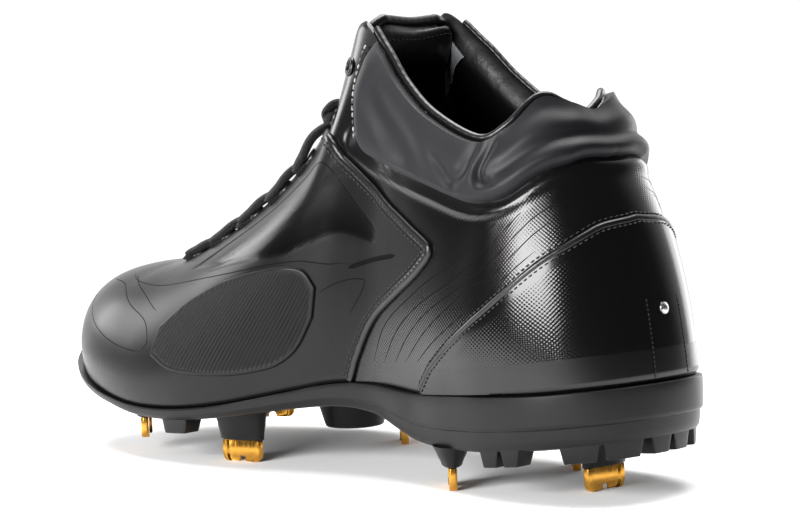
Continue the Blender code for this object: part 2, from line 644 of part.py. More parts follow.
def curve_to_mesh(model, curve, name):
    """A curve's own solid as a welded mesh."""
    guide = bpy.data.objects.new(name + "_curve", curve)
    model.cutters.objects.link(guide)
    bpy.context.view_layer.update()
    graph = bpy.context.evaluated_depsgraph_get()
    mesh = bpy.data.meshes.new_from_object(guide.evaluated_get(graph))
    bpy.data.objects.remove(guide)
    bpy.data.curves.remove(curve)
    bm = bmesh.new()
    bm.from_mesh(mesh)
    bpy.data.meshes.remove(mesh)
    bmesh.ops.remove_doubles(bm, verts=bm.verts, dist=1e-6)
    bmesh.ops.recalc_face_normals(bm, faces=bm.faces)
    return mesh_from(name, bm)


def tube(model, name, points, diameter, closed=False):
    """A round cord through the points, as a mesh."""
    curve = bpy.data.curves.new(name, "CURVE")
    curve.dimensions = "3D"
    curve.bevel_depth = diameter / 2
    curve.bevel_resolution = 1
    curve.use_fill_caps = not closed
    spline = curve.splines.new("POLY")
    spline.points.add(len(points) - 1)
    for spot, point in zip(spline.points, points):
        spot.co = (*point, 1)
    spline.use_cyclic_u = closed
    return curve_to_mesh(model, curve, name)


def edge_frame(stations):
    """Points on the opening's edge, with the unit directions out of the wall and up off the edge."""
    edge = np.ones(len(stations))
    point, out = surface(stations, edge), outward(stations, edge)
    along = surface(stations + 0.05, edge) - surface(stations - 0.05, edge)
    up = np.cross(along, out)
    up *= np.sign(up[:, 2:])
    return point, out, up / np.linalg.norm(up, axis=1)[:, None]


def piping(model):
    """Cord along the collar's edge, from one cuff corner round the heel to the other."""
    point, out, up = edge_frame(stations_between(-PIPING_END, PIPING_END))
    middle = point - out * UPPER_WALL * 0.45 + up * (PIPING_DIAMETER / 2 + 2 * GAP)
    return model.add("collar_piping", tube(model, "collar_piping", middle, PIPING_DIAMETER),
                     "gloss_leather")


def tongue(model):
    """Padded tongue under the lacing, a little higher than the cuff."""
    rows = np.concatenate([[8.05], stations_between(8.5, 14.5), [14.9]])
    clear = UPPER_WALL + TONGUE_CLEARANCE
    inner_near, inner_far = raised(rows, 0.90, -clear), raised(-rows, 0.90, -clear)
    tucked = clear + TONGUE_CLEARANCE
    edge_near, edge_far = raised(rows, 0.985, -tucked), raised(-rows, 0.985, -tucked)
    middle = (edge_near + edge_far) / 2
    across = []
    for k in range(len(rows)):
        ribs = np.array((inner_near[k], edge_near[k], middle[k], edge_far[k], inner_far[k]))
        across.append(smooth_through(ribs, np.linspace(0, 4, 9)))
    outer = np.array(across)
    run = np.gradient(outer, axis=0)
    over = np.gradient(outer, axis=1)
    normal = np.cross(over, run)
    normal /= np.linalg.norm(normal, axis=-1)[..., None]
    round_off = 1 - 0.65 * abs(np.linspace(-1, 1, 9)) ** 3
    inner = outer - normal * (TONGUE_THICKNESS * round_off)[None, :, None]
    return padded(model, "tongue", "collar_leather", outer, inner)


def eyelet_stations():
    """Stations of the eyelets, one pitch apart along the throat, counted from the top."""
    fine = np.linspace(TOE_STATION * 0.508, TOE_STATION * 0.9, 400)
    line = surface(fine, np.full(len(fine), EYELET_SHARE))
    length = np.concatenate([[0], np.cumsum(np.linalg.norm(np.diff(line, axis=0), axis=1))])
    return np.interp(np.arange(EYELET_COUNT) * EYELET_PITCH, length, fine)


def eyelet_base(station):
    """Height of the outermost layer under an eyelet."""
    on_vamp = abs(station) > along_table(VAMP_EDGE, EYELET_SHARE) - 0.35
    return GAP + (VAMP_THICKNESS + 2 * GAP if on_vamp else 0)


def eyelets(model):
    """Pressed rims round the lace holes."""
    turns = 10
    outer, inner = EYELET_HOLE / 2 + EYELET_RIM, EYELET_HOLE / 2
    for number, place in enumerate(eyelet_stations()):
        for side, word in ((1, "medial"), (-1, "lateral")):
            bm = bmesh.new()
            profile = ((outer, 0.0), ((outer + inner) / 2, EYELET_HEIGHT), (inner, 0.0))
            rings = [[bm.verts.new((radius * math.cos(2 * math.pi * k / turns),
                                    radius * math.sin(2 * math.pi * k / turns), level))
                      for k in range(turns)] for radius, level in profile]
            for this, after in zip(rings, rings[1:] + rings[:1]):
                for k in range(turns):
                    beyond = (k + 1) % turns
                    bm.faces.new((this[k], this[beyond], after[beyond], after[k]))
            bmesh.ops.recalc_face_normals(bm, faces=bm.faces)
            station = side * place
            normal = Vector(outward(station, EYELET_SHARE))
            spot = Vector(over_facets(station, EYELET_SHARE, eyelet_base(station) + GAP))
            at = Matrix.Translation(spot) @ normal.to_track_quat("Z", "Y").to_matrix().to_4x4()
            model.add(f"eyelet_{word}_{number + 1}", mesh_from("eyelet", bm), "gloss_leather", at)


def laces(model):
    """Crossed lacing over the tongue, joined where it crosses, with the top eyelets left empty."""
    places = eyelet_stations()[1:]
    lift = LACE_DIAMETER / 2 + EYELET_HEIGHT + VAMP_THICKNESS + 4 * GAP
    runs = [(places[-1], places[-1])]
    for high, low in zip(places, places[1:]):
        runs += [(high, low), (low, high)]
    bodies = []
    for number, (start, end) in enumerate(runs):
        share = np.array((0.0, 0.22, 0.5, 0.78, 1.0))
        station = start + (end - start) * share
        near = [raised(station[k], (EYELET_SHARE, 0.995)[k], lift) for k in (0, 1)]
        far = [raised(-station[k], (0.995, EYELET_SHARE)[k - 3], lift) for k in (3, 4)]
        crown = (near[1] + far[0]) / 2 + np.array((0, 0.0010, 0.0022))
        ribs = np.array([*near, crown, *far])
        path = smooth_through(ribs, np.linspace(0, 4, 7))
        bodies.append(tube(model, f"lace_run_{number}", path, LACE_DIAMETER))
    piece = model.add("laces", bodies[0], "lace_cloth")
    unite(piece, [model.tool(f"lace_{k}", body) for k, body in enumerate(bodies[1:])])
    return piece


def rivet(model):
    """Steel rivet at the back of the heel."""
    station, share = -0.12, 0.235
    base = GAP + COUNTER_THICKNESS + GAP
    bm = bmesh.new()
    bmesh.ops.create_cone(bm, cap_ends=True, segments=20, radius1=RIVET_DIAMETER / 2,
                          radius2=RIVET_DIAMETER * 0.36, depth=RIVET_HEIGHT)
    normal = Vector(outward(station, share))
    spot = Vector(raised(station, share, base + RIVET_HEIGHT / 2 + 2 * GAP))
    at = Matrix.Translation(spot) @ normal.to_track_quat("Z", "Y").to_matrix().to_4x4()
    return model.add("heel_rivet", mesh_from("heel_rivet", bm), "steel", at)


def label(model):
    """Plain woven label on the inside of the cuff."""
    station, share = -7.3, 0.90
    depth = -(UPPER_WALL + 2 * GAP + LABEL_THICKNESS)
    bm = bmesh.new()
    bmesh.ops.create_cube(bm, size=1.0)
    for vert in bm.verts:
        vert.co = (vert.co.x * LABEL_WIDTH, vert.co.y * LABEL_HEIGHT, vert.co.z * LABEL_THICKNESS)
    normal = Vector(outward(station, share))
    spot = Vector(raised(station, share, depth))
    at = Matrix.Translation(spot) @ normal.to_track_quat("Z", "Y").to_matrix().to_4x4()
    return model.add("size_label", mesh_from("size_label", bm), "label_cloth", at)


def centre(model):
    """Move the root so that the origin lies under the middle of the whole shoe."""
    bpy.context.view_layer.update()
    graph = bpy.context.evaluated_depsgraph_get()
    corners = []
    for piece in model.parts.objects:
        if piece.type == "MESH":
            seen = piece.evaluated_get(graph)
            corners += [seen.matrix_world @ vert.co for vert in seen.data.vertices]
    low = [min(corner[axis] for corner in corners) for axis in range(3)]
    high = [max(corner[axis] for corner in corners) for axis in range(3)]
    model.root.location = (-(low[0] + high[0]) / 2, -(low[1] + high[1]) / 2, -low[2])
    bpy.context.view_layer.update()


def main():
    model = Model()
    outsole(model)
    upper(model)
    vamp(model)
    counter(model)
    collar_pad(model)
    for side in (-1, 1):
        side_guard(model, side)
    insole(model)
    tongue(model)
    piping(model)
    eyelets(model)
    laces(model)
    rivet(model)
    label(model)
    for row in BLADES:
        blade(model, dict(zip(BLADE, row)))
    centre(model)


main()
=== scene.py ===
"""Looks of a mid-cut baseball cleat for the right foot, standing empty on its metal blades.

Soft pieces follow the upper's own form, form(station, share): stations run from 0 at the heel along
the inner side to 17 at the toe and back along the outer side, and shares run from 0 at the sole's
edge to 1 at the opening. Lengths are metres, +Y is the toe, +X the wearer's right.
"""

import math

import bmesh
import bpy
import numpy as np
from mathutils import Matrix, Vector
from mathutils.kdtree import KDTree


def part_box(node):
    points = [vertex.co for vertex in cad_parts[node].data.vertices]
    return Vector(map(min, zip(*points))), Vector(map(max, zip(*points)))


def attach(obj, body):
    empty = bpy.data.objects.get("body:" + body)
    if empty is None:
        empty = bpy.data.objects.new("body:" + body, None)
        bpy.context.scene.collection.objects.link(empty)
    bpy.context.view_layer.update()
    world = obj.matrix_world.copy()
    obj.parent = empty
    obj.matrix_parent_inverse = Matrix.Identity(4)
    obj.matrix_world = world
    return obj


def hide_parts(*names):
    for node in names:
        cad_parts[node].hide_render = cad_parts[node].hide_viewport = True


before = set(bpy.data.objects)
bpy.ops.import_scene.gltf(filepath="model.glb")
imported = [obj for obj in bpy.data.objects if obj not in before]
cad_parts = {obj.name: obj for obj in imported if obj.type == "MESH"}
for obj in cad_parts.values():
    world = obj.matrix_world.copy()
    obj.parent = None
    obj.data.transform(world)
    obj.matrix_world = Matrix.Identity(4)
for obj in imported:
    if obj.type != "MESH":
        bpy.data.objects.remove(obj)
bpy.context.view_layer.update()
MM = 0.001

# Driving sizes, the same as the frame's
SOLE_LENGTH = 0.305
BALL_WIDTH = 0.104
HEEL_WIDTH = 0.076
HEEL_STACK = 0.0375
HEEL_COLLAR_HEIGHT = 0.095
CUFF_HEIGHT = 0.1225
INSTEP_HEIGHT = 0.0885
COLLAR_WIDTH = 0.058
THROAT_WIDTH = 0.032
GAP = 0.3 * MM
UPPER_WALL = 2.2 * MM
VAMP_THICKNESS = 1.0 * MM
COUNTER_THICKNESS = 1.2 * MM
PAD_THICKNESS = 4.4 * MM
TONGUE_THICKNESS = 5.4 * MM
INSOLE_THICKNESS = 4.0 * MM
PIPING_DIAMETER = 2.6 * MM
RIM_WIDTH = 2.6 * MM
TOE_BUMPER = 4.5 * MM
HEEL_WALL = 19.2 * MM
LUG_HEIGHT = 5.0 * MM
LUG_WIDTH = 9.0 * MM
LUG_TAPER = 1.4 * MM
BOSS_DIAMETER = 25.0 * MM
BLADE_WIDTH = 18.0 * MM
BLADE_THICKNESS = 2.8 * MM
BLADE_HEIGHT = 7.8 * MM
BLADE_NOTCH = 3.0 * MM
BLADE_CORNER = 3.2 * MM
EYELET_COUNT = 7
EYELET_PITCH = 20.5 * MM
EYELET_HOLE = 4.4 * MM
EYELET_SHARE = 0.93
LACE_WIDTH = 6.8 * MM
LACE_HEIGHT = 3.4 * MM
TONGUE_SPAN = (8.05, 14.9)
TONGUE_RISE = 3.0 * MM
TONGUE_TILT = 2.0 * MM
LINING_SWELL = 3.8 * MM

TOP_SIZES = {"collar": HEEL_COLLAR_HEIGHT, "cuff": CUFF_HEIGHT, "instep": INSTEP_HEIGHT}
OPENING_SIZES = {"collar": COLLAR_WIDTH / 2, "throat": THROAT_WIDTH / 2}

# One row for each section of the upper: see the frame's own shares of the named sizes
SECTION = ("name", "along", "of_heel", "of_ball", "top_along", "opening", "of", "top", "height",
           "rise", "lean", "drop", "roll")
MEDIAL = (
    ("heel back",   0.009, 0.00, 0.00, 0.108, 0.00, "collar", 0.937, "collar", 0.38, -5, 0.34, 40),
    ("heel corner", 0.027, 0.55, 0.00, 0.114, 0.31, "collar", 0.972, "collar", 0.38, -3, 0.34, 36),
    ("heel side",   0.088, 0.88, 0.00, 0.130, 0.55, "collar", 0.995, "collar", 0.38,  4, 0.34, 28),
    ("heel seat",   0.162, 0.95, 0.00, 0.150, 0.86, "collar", 0.900, "collar", 0.36, 10, 0.32, 16),
    ("ankle",       0.231, 0.89, 0.00, 0.187, 1.00, "collar", 0.853, "collar", 0.34, 12, 0.30, 10),
    ("cuff back",   0.290, 0.76, 0.04, 0.256, 1.02, "collar", 0.730, "cuff",   0.34,  8, 0.34,  8),
    ("cuff side",   0.344, 0.55, 0.16, 0.308, 0.95, "collar", 0.820, "cuff",   0.34,  4, 0.41,  8),
    ("cuff rise",   0.393, 0.30, 0.33, 0.349, 0.86, "collar", 0.920, "cuff",   0.34,  0, 0.47,  8),
    ("cuff corner", 0.443, 0.12, 0.49, 0.393, 0.76, "collar", 1.000, "cuff",   0.34,  0, 0.52, 12),
    ("top eyelet",  0.492, 0.03, 0.61, 0.426, 1.25, "throat", 0.895, "cuff",   0.34,  2, 0.45, 25),
    ("waist",       0.546, 0.00, 0.72, 0.465, 1.12, "throat", 1.000, "instep", 0.32,  6, 0.38, 42),
    ("joint",       0.610, 0.00, 0.83, 0.534, 1.00, "throat", 0.785, "instep", 0.29, 12, 0.34, 55),
    ("ball",        0.684, 0.00, 0.90, 0.623, 0.91, "throat", 0.600, "instep", 0.27, 16, 0.32, 64),
    ("toe joint",   0.772, 0.00, 0.89, 0.710, 0.81, "throat", 0.455, "instep", 0.26, 16, 0.32, 72),
    ("toe side",    0.866, 0.00, 0.77, 0.765, 0.69, "throat", 0.390, "instep", 0.28, 14, 0.34, 80),
    ("toe corner",  0.934, 0.00, 0.57, 0.787, 0.50, "throat", 0.375, "instep", 0.27, 10, 0.36, 86),
    ("toe front",   0.974, 0.00, 0.32, 0.795, 0.25, "throat", 0.368, "instep", 0.26,  6, 0.40, 89),
    ("toe tip",     0.985, 0.00, 0.08, 0.797, 0.12, "throat", 0.368, "instep", 0.26,  4, 0.42, 89),
)
LATERAL = (
    ("heel back",   0.009, 0.00, 0.00, 0.108, 0.00, "collar", 0.937, "collar", 0.38, -5, 0.34, 40),
    ("heel corner", 0.027, 0.55, 0.00, 0.114, 0.31, "collar", 0.972, "collar", 0.38, -3, 0.34, 36),
    ("heel side",   0.088, 0.90, 0.00, 0.130, 0.55, "collar", 0.995, "collar", 0.38,  4, 0.34, 28),
    ("heel seat",   0.162, 0.98, 0.00, 0.150, 0.86, "collar", 0.900, "collar", 0.36, 10, 0.32, 16),
    ("ankle",       0.231, 1.00, 0.00, 0.187, 1.00, "collar", 0.853, "collar", 0.34, 14, 0.30, 10),
    ("cuff back",   0.290, 0.95, 0.05, 0.256, 1.02, "collar", 0.730, "cuff",   0.34, 12, 0.34,  8),
    ("cuff side",   0.344, 0.75, 0.22, 0.308, 0.95, "collar", 0.820, "cuff",   0.34, 10, 0.41,  8),
    ("cuff rise",   0.393, 0.50, 0.45, 0.352, 0.88, "collar", 0.920, "cuff",   0.32, 10, 0.47,  8),
    ("cuff corner", 0.443, 0.25, 0.68, 0.408, 0.80, "collar", 1.015, "cuff",   0.30, 10, 0.52, 12),
    ("top eyelet",  0.492, 0.08, 0.84, 0.432, 1.25, "throat", 0.900, "cuff",   0.28, 12, 0.45, 25),
    ("waist",       0.546, 0.00, 0.96, 0.465, 1.12, "throat", 1.000, "instep", 0.26, 14, 0.38, 42),
    ("joint",       0.605, 0.00, 1.02, 0.534, 1.00, "throat", 0.785, "instep", 0.25, 18, 0.34, 55),
    ("ball",        0.674, 0.00, 1.03, 0.623, 0.91, "throat", 0.600, "instep", 0.24, 18, 0.32, 64),
    ("toe joint",   0.752, 0.00, 0.94, 0.710, 0.81, "throat", 0.455, "instep", 0.24, 18, 0.32, 72),
    ("toe side",    0.836, 0.00, 0.76, 0.765, 0.60, "throat", 0.390, "instep", 0.26, 14, 0.34, 80),
    ("toe corner",  0.913, 0.00, 0.50, 0.787, 0.35, "throat", 0.375, "instep", 0.26, 10, 0.36, 86),
    ("toe front",   0.966, 0.00, 0.20, 0.795, 0.05, "throat", 0.368, "instep", 0.26,  6, 0.40, 89),
    ("toe tip",     0.985, 0.00, -0.08, 0.797, -0.12, "throat", 0.368, "instep", 0.26, 4, 0.42, 89),
)
# Height of the sole's top edge and of its side wall along the foot
DECK = ((-0.10, 1.080), (0.00, 1.035), (0.095, 0.955), (0.20, 0.895), (0.29, 0.850), (0.37, 0.893),
        (0.44, 0.865), (0.52, 0.740), (0.60, 0.610), (0.68, 0.535), (0.76, 0.530), (0.84, 0.605),
        (0.90, 0.715), (0.95, 0.860), (1.00, 1.030), (1.05, 1.200))
SIDE_WALL = ((-0.10, 0.98), (0.10, 0.97), (0.20, 1.00), (0.27, 0.94), (0.31, 0.86), (0.34, 0.74),
             (0.37, 0.60), (0.41, 0.50), (0.47, 0.41), (0.51, 0.35), (0.60, 0.27), (0.70, 0.235),
             (0.80, 0.20), (0.90, 0.17), (1.05, 0.17))
# Panel edges: the vamp's station by share, then the share by station of the counter's top and of the
# pad's foot, and the pad's front station by its own rise; the guard's rows are station, low and high share
VAMP_EDGE = ((0.00, 7.35), (0.10, 7.10), (0.22, 6.60), (0.34, 5.65), (0.46, 4.85), (0.56, 4.68),
             (0.61, 5.70), (0.65, 7.85), (0.74, 8.80), (0.86, 9.60), (1.00, 10.20))
COUNTER_EDGE = ((0.0, 0.570), (0.8, 0.535), (1.5, 0.465), (2.3, 0.385), (3.0, 0.310), (3.8, 0.215),
                (4.5, 0.110), (4.9, 0.030))
PAD_EDGE = ((0.0, 0.805), (0.7, 0.785), (1.2, 0.750), (2.3, 0.690), (3.1, 0.720), (4.0, 0.755),
            (4.8, 0.760), (6.0, 0.735), (7.1, 0.700), (7.9, 0.705))
PAD_FRONT = ((0.0, 7.60), (0.4, 7.85), (0.75, 7.60), (1.0, 7.25))
GUARD = ((8.6, 0.240, 0.330), (9.0, 0.150, 0.390), (9.5, 0.110, 0.435), (10.0, 0.105, 0.470),
         (10.5, 0.115, 0.500), (11.0, 0.135, 0.525), (11.5, 0.160, 0.535), (12.0, 0.200, 0.500),
         (12.4, 0.270, 0.410))
GUARD_HEIGHT = 0.9 * MM
GUARD_RIB_PITCH = 2.2 * MM
GUARD_RIB_DEPTH = 0.45 * MM
PIPING_END = 7.5
PAD_REACH = 7.8
RIVET = (-0.12, 0.235)
# Plain strip up the back of the heel: its outer and inner stations and its top share
STRIP = (-0.50, 0.26)
STRIP_TOP = 0.275
# The counter's plain lower band: its top share, and millimetres to a whole share and to a station
BAND_TOP = 0.105
SHARE_MM = 90
STATION_MM = 20
# Rows of the quarter's outer face and of its lining
OUTER_ROWS = 66
LINING_ROWS = 34
TOE_STATION = len(MEDIAL) - 1
STATIONS = 2 * TOE_STATION

# First and last station of each lug along the sole's edge
LUGS = ((2.83, 3.24), (2.42, 2.79), (1.16, 1.76), (0.44, 1.12), (-0.14, 0.30), (-0.62, -0.18),
        (-1.40, -0.80), (-1.86, -1.44), (-2.79, -2.42), (-3.24, -2.83),
        (11.68, 12.25), (-12.40, -11.80), (-10.50, -9.90))
# Blades: shares of the sole's length and of half the named width, turn in degrees, height of the foot
BLADE = ("name", "along", "across", "of", "turn", "foot")
BLADES = (
    ("toe_medial",   0.800, -0.62, BALL_WIDTH, -42, 0.0055),
    ("toe_lateral",  0.785,  0.52, BALL_WIDTH,  42, 0.0055),
    ("ball_medial",  0.616, -0.58, BALL_WIDTH,  12, 0.0000),
    ("ball_lateral", 0.558,  0.67, BALL_WIDTH, -40, 0.0000),
    ("heel_medial",  0.256, -0.70, HEEL_WIDTH, -42, 0.0000),
    ("heel_lateral", 0.235,  0.72, HEEL_WIDTH, -42, 0.0000),
    ("heel_rear",    0.106,  0.02, HEEL_WIDTH,  90, 0.0000),
)
BOSS = ("forefoot", 0.551, 0.16, BALL_WIDTH, 0, 0.0100)
# Flared mount and round boss from the foot up: share of the height, half length, half width
MOUNT_PROFILE = ((0.0, 1.06, 0.34), (0.03, 1.10, 0.40), (0.25, 1.12, 0.46), (0.5, 1.18, 0.56),
                 (0.72, 1.20, 0.64), (0.86, 1.25, 0.70), (1.0, 1.30, 0.76))
BOSS_PROFILE = ((0.0, 0.84, 0.84), (0.03, 0.88, 0.88), (0.3, 0.95, 0.95), (1.0, 1.10, 1.10))

# Engraved lines as (station, share) points: the fan over the quarter, then those of the vamp
FAN_LINES = (
    ((6.62, 0.080), (6.18, 0.215), (5.25, 0.345), (3.28, 0.595), (1.18, 0.720)),
    ((6.20, 0.085), (5.60, 0.230), (4.55, 0.375), (3.08, 0.540), (1.15, 0.680)),
    ((5.78, 0.095), (5.15, 0.230), (4.12, 0.375), (2.90, 0.485), (1.20, 0.640)),
    ((5.38, 0.110), (4.65, 0.240), (3.58, 0.390), (2.78, 0.435), (1.55, 0.560)),
    ((4.95, 0.120), (4.25, 0.220), (3.28, 0.335), (1.95, 0.460)),
)
VAMP_LINES = (
    ((15.60, 0.47), (14.95, 0.40), (14.10, 0.345), (13.60, 0.315), (13.15, 0.300), (12.70, 0.290)),
    ((15.40, 0.60), (14.38, 0.640), (13.48, 0.535), (12.88, 0.455), (12.60, 0.345), (12.68, 0.295)),
    ((14.60, 0.72), (14.18, 0.705), (13.38, 0.615), (12.70, 0.500)),
    ((14.85, 0.72), (12.78, 0.650), (10.90, 0.540), (8.62, 0.400), (7.50, 0.385)),
    ((8.50, 0.310), (7.20, 0.350), (6.95, 0.335), (7.43, 0.235)),
    ((12.55, 0.720), (11.60, 0.785), (9.83, 0.765), (7.98, 0.590), (6.65, 0.510)),
)
# The vamp's sunk side panel: its depth, how far that reaches from the lower edge, and its outline
RECESS_DEPTH = 0.38 * MM
RECESS_FALL = 9.0 * MM
RECESS = ((12.55, 0.720), (11.60, 0.785), (9.83, 0.765), (7.98, 0.590), (6.65, 0.510), (6.93, 0.475),
          (9.08, 0.480), (10.73, 0.560), (12.55, 0.720))
# Where the outer side's fan ends round the heel, in place of the inner side's last points
OUTER_FAN_ENDS = (
    ((2.90, 0.530), (1.65, 0.620), (0.65, 0.700)),
    ((2.80, 0.490), (1.65, 0.565), (0.67, 0.655)),
    ((2.60, 0.455), (1.67, 0.535), (0.90, 0.620)),
    ((2.40, 0.440), (1.70, 0.510), (1.05, 0.585)),
    ((3.28, 0.335), (2.20, 0.440), (1.40, 0.530)),
)
# The slash on the vamp, a dark strip painted as the shade in its slit: its width as so many hairlines, and
# its line
SLASH_WIDTH = 4.6
SLASH = ((7.55, 0.375), (6.60, 0.425), (5.70, 0.475))
# Creases of the collar pad: path, depth and half width in millimetres
PAD_CREASES = (
    (((3.30, 0.985), (3.50, 0.930), (3.64, 0.870), (3.45, 0.815), (3.05, 0.785)), 2.3, 1.7),
    (((3.85, 0.990), (3.98, 0.930), (4.05, 0.870), (4.25, 0.820)), 1.5, 2.0),
    (((3.30, 0.835), (2.20, 0.790), (1.18, 0.845), (0.00, 0.880), (-1.18, 0.845), (-2.20, 0.790),
      (-3.30, 0.835)), 1.9, 2.8),
    (((6.70, 0.900), (5.60, 0.885), (4.95, 0.835)), 1.1, 3.0),
    (((4.75, 0.890), (4.45, 0.850), (4.20, 0.800)), 1.2, 2.0),
    (((7.30, 0.800), (6.40, 0.785), (5.60, 0.800)), 0.8, 2.6),
    (((2.60, 0.930), (1.60, 0.945), (0.80, 0.960)), 0.6, 3.0),
)

# Camera of the photograph, in degrees, metres and pixels, aimed at a point in the row's frame
YAW, PITCH, ROLL = 42.1, 4.6, -2.4
CAMERA_DISTANCE = 0.972
CAMERA_TARGET = (-0.00925, -0.02946, 0.0773)
FOCAL_PIXELS = 2712
IMAGE_WIDTH = 800
SENSOR_WIDTH = 36
# The studio: the table's radius, and the way to the wall that is lit
TABLE_RADIUS = 0.42
BRIGHT_WALL = (0.66, 0.72, 0.22)

# Pressed cells of the glossy leathers, in millimetres: pitch along a row, between rows, and depth
CELL_PITCH, CELL_ROW, CELL_DEPTH = 1.5, 0.7, 0.020


def smooth_through(points, at):
    """A smooth curve through evenly counted points, read at positions from 0 to the last one."""
    rows = np.asarray(points, float)
    rows = np.concatenate([[2 * rows[0] - rows[1]], rows, [2 * rows[-1] - rows[-2]]])
    at = np.clip(np.asarray(at, float), 0, len(rows) - 3 - 1e-9)
    step = at.astype(int)
    part = (at - step).reshape(at.shape + (1,) * (rows.ndim - 1))
    return blend_four(rows[step], rows[step + 1], rows[step + 2], rows[step + 3], part)


def blend_four(before, start, end, after, part):
    bend = 2 * before - 5 * start + 4 * end - after
    twist = 3 * (start - end) + after - before
    return start + 0.5 * part * ((end - before) + part * (bend + part * twist))


def along_table(table, at):
    """A smooth value from a table of (place, value) rows."""
    places, values = np.array(table, float).T
    return smooth_through(values, np.interp(at, places, np.arange(len(places))))


def curve_through(points, count):
    """Evenly spread points on a smooth curve through the given ones."""
    fine = smooth_through(points, np.linspace(0, len(points) - 1, 40 * len(points)))
    length = lengths_along(fine)
    even = np.linspace(0, length[-1], count)
    return np.stack([np.interp(even, length, fine[:, axis]) for axis in range(fine.shape[1])], 1)


def lengths_along(points):
    return np.concatenate([[0], np.cumsum(np.linalg.norm(np.diff(points, axis=0), axis=1))])


def soft_step(value):
    value = np.clip(value, 0, 1)
    return value * value * (3 - 2 * value)


def deck_height(y):
    return along_table(DECK, np.asarray(y) / SOLE_LENGTH) * HEEL_STACK


def wall_height(y):
    return along_table(SIDE_WALL, np.asarray(y) / SOLE_LENGTH) * HEEL_WALL


def section_handles(table, side):
    """Four Bezier points for each section of one side, from the sole's edge to the opening."""
    rows = [dict(zip(SECTION, row)) for row in table]
    foot, top = [], []
    for row in rows:
        x = side * (row["of_heel"] * HEEL_WIDTH + row["of_ball"] * BALL_WIDTH) / 2
        y = row["along"] * SOLE_LENGTH
        foot.append((x, y, float(deck_height(y)) + GAP))
        top.append((side * row["opening"] * OPENING_SIZES[row["of"]], row["top_along"] * SOLE_LENGTH,
                    HEEL_STACK + row["top"] * TOP_SIZES[row["height"]]))
    foot, top = np.array(foot), np.array(top)
    run = np.gradient(foot[:, :2], axis=0)
    out = np.stack([side * run[:, 1], -side * run[:, 0], np.zeros(len(run))], 1)
    out[0], out[-1] = (0, -1, 0), (0, 1, 0)
    out /= np.linalg.norm(out, axis=1)[:, None]
    up = np.array((0.0, 0.0, 1.0))
    handles = []
    for row, low, high, away in zip(rows, foot, top, out):
        lean, roll = math.radians(row["lean"]), math.radians(row["roll"])
        rise = row["rise"] * INSTEP_HEIGHT * (math.sin(lean) * away + math.cos(lean) * up)
        drop = row["drop"] * INSTEP_HEIGHT * (math.sin(roll) * away - math.cos(roll) * up)
        handles.append((low, low + rise, high + drop, high))
    return np.array(handles)


def ring_of_sections():
    medial = section_handles(MEDIAL, -1)
    lateral = section_handles(LATERAL, 1)
    medial[-1] = (medial[-1] + lateral[-1]) / 2
    return np.concatenate([medial, lateral[-2:0:-1]])


SECTIONS = ring_of_sections()


def form(station, share):
    """The upper's outer face before it is moved to the frame's origin."""
    station, share = np.broadcast_arrays(np.asarray(station, float), np.asarray(share, float))
    step = np.floor(station).astype(int)
    part = (station - step)[..., None, None]
    near = [SECTIONS[(step + shift) % STATIONS] for shift in (-1, 0, 1, 2)]
    points = blend_four(*near, part)
    up = share[..., None]
    down = 1 - up
    return (down ** 3 * points[..., 0, :] + 3 * down ** 2 * up * points[..., 1, :]
            + 3 * down * up ** 2 * points[..., 2, :] + up ** 3 * points[..., 3, :])


def find_shift():
    """How far the frame's origin lies from the form's own, read from the upper's node."""
    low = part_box("upper")[0]
    columns = np.arange(2 * STATIONS) / 2
    levels = np.array((0.0, 0.10, 0.22, 0.34, 0.46, 0.56, 0.61, 0.65, 0.74, 0.86, 1.0))
    points = form(columns[:, None], levels[None])
    return np.array((low.x - points[..., 0].min(), low.y - points[..., 1].min(), GAP))


SHIFT = find_shift()


def outward(station, share):
    tiny = 0.01
    low, high = np.maximum(np.asarray(share) - tiny, 0), np.minimum(np.asarray(share) + tiny, 1)
    across = form(np.asarray(station) + tiny, share) - form(np.asarray(station) - tiny, share)
    up = form(station, high) - form(station, low)
    normal = np.cross(up, across)
    return normal / np.linalg.norm(normal, axis=-1)[..., None]


def on_form(station, share, height=0.0):
    """A point over the upper's outer face, in the row's frame."""
    point = form(station, share)
    return SHIFT + point + outward(station, share) * np.broadcast_to(height, point.shape[:-1])[..., None]


def outline(station, offset):
    """Plan outline of the sole's edge, moved outward by offset, before the shift."""
    station = np.asarray(station, float)
    tiny = 0.05
    run = form(station + tiny, 0)[..., :2] - form(station - tiny, 0)[..., :2]
    out = np.stack([-run[..., 1], run[..., 0]], -1)
    out /= np.linalg.norm(out, axis=-1)[..., None]
    return form(station, 0)[..., :2] + out * np.asarray(offset)[..., None]


# Distances round the form at mid height, and up it at each station, for the patterns' coordinates
FINE_STATIONS = np.linspace(-TOE_STATION, STATIONS, 307)
FINE_SHARES = np.linspace(0, 1, 41)
ROUND = lengths_along(form(FINE_STATIONS, 0.45))
CLIMB = np.array([lengths_along(form(station, FINE_SHARES)) for station in FINE_STATIONS])


def span_of(station, share):
    """Pattern coordinates in metres: round the foot and up the wall."""
    column = np.interp(station, FINE_STATIONS, np.arange(len(FINE_STATIONS)))
    level = np.asarray(share) * (len(FINE_SHARES) - 1)
    i = np.clip(column.astype(int), 0, len(FINE_STATIONS) - 2)
    j = np.clip(level.astype(int), 0, len(FINE_SHARES) - 2)
    a, b = column - i, level - j
    climb = ((1 - a) * ((1 - b) * CLIMB[i, j] + b * CLIMB[i, j + 1])
             + a * ((1 - b) * CLIMB[i + 1, j] + b * CLIMB[i + 1, j + 1]))
    return np.stack([np.interp(station, FINE_STATIONS, ROUND), climb], -1)


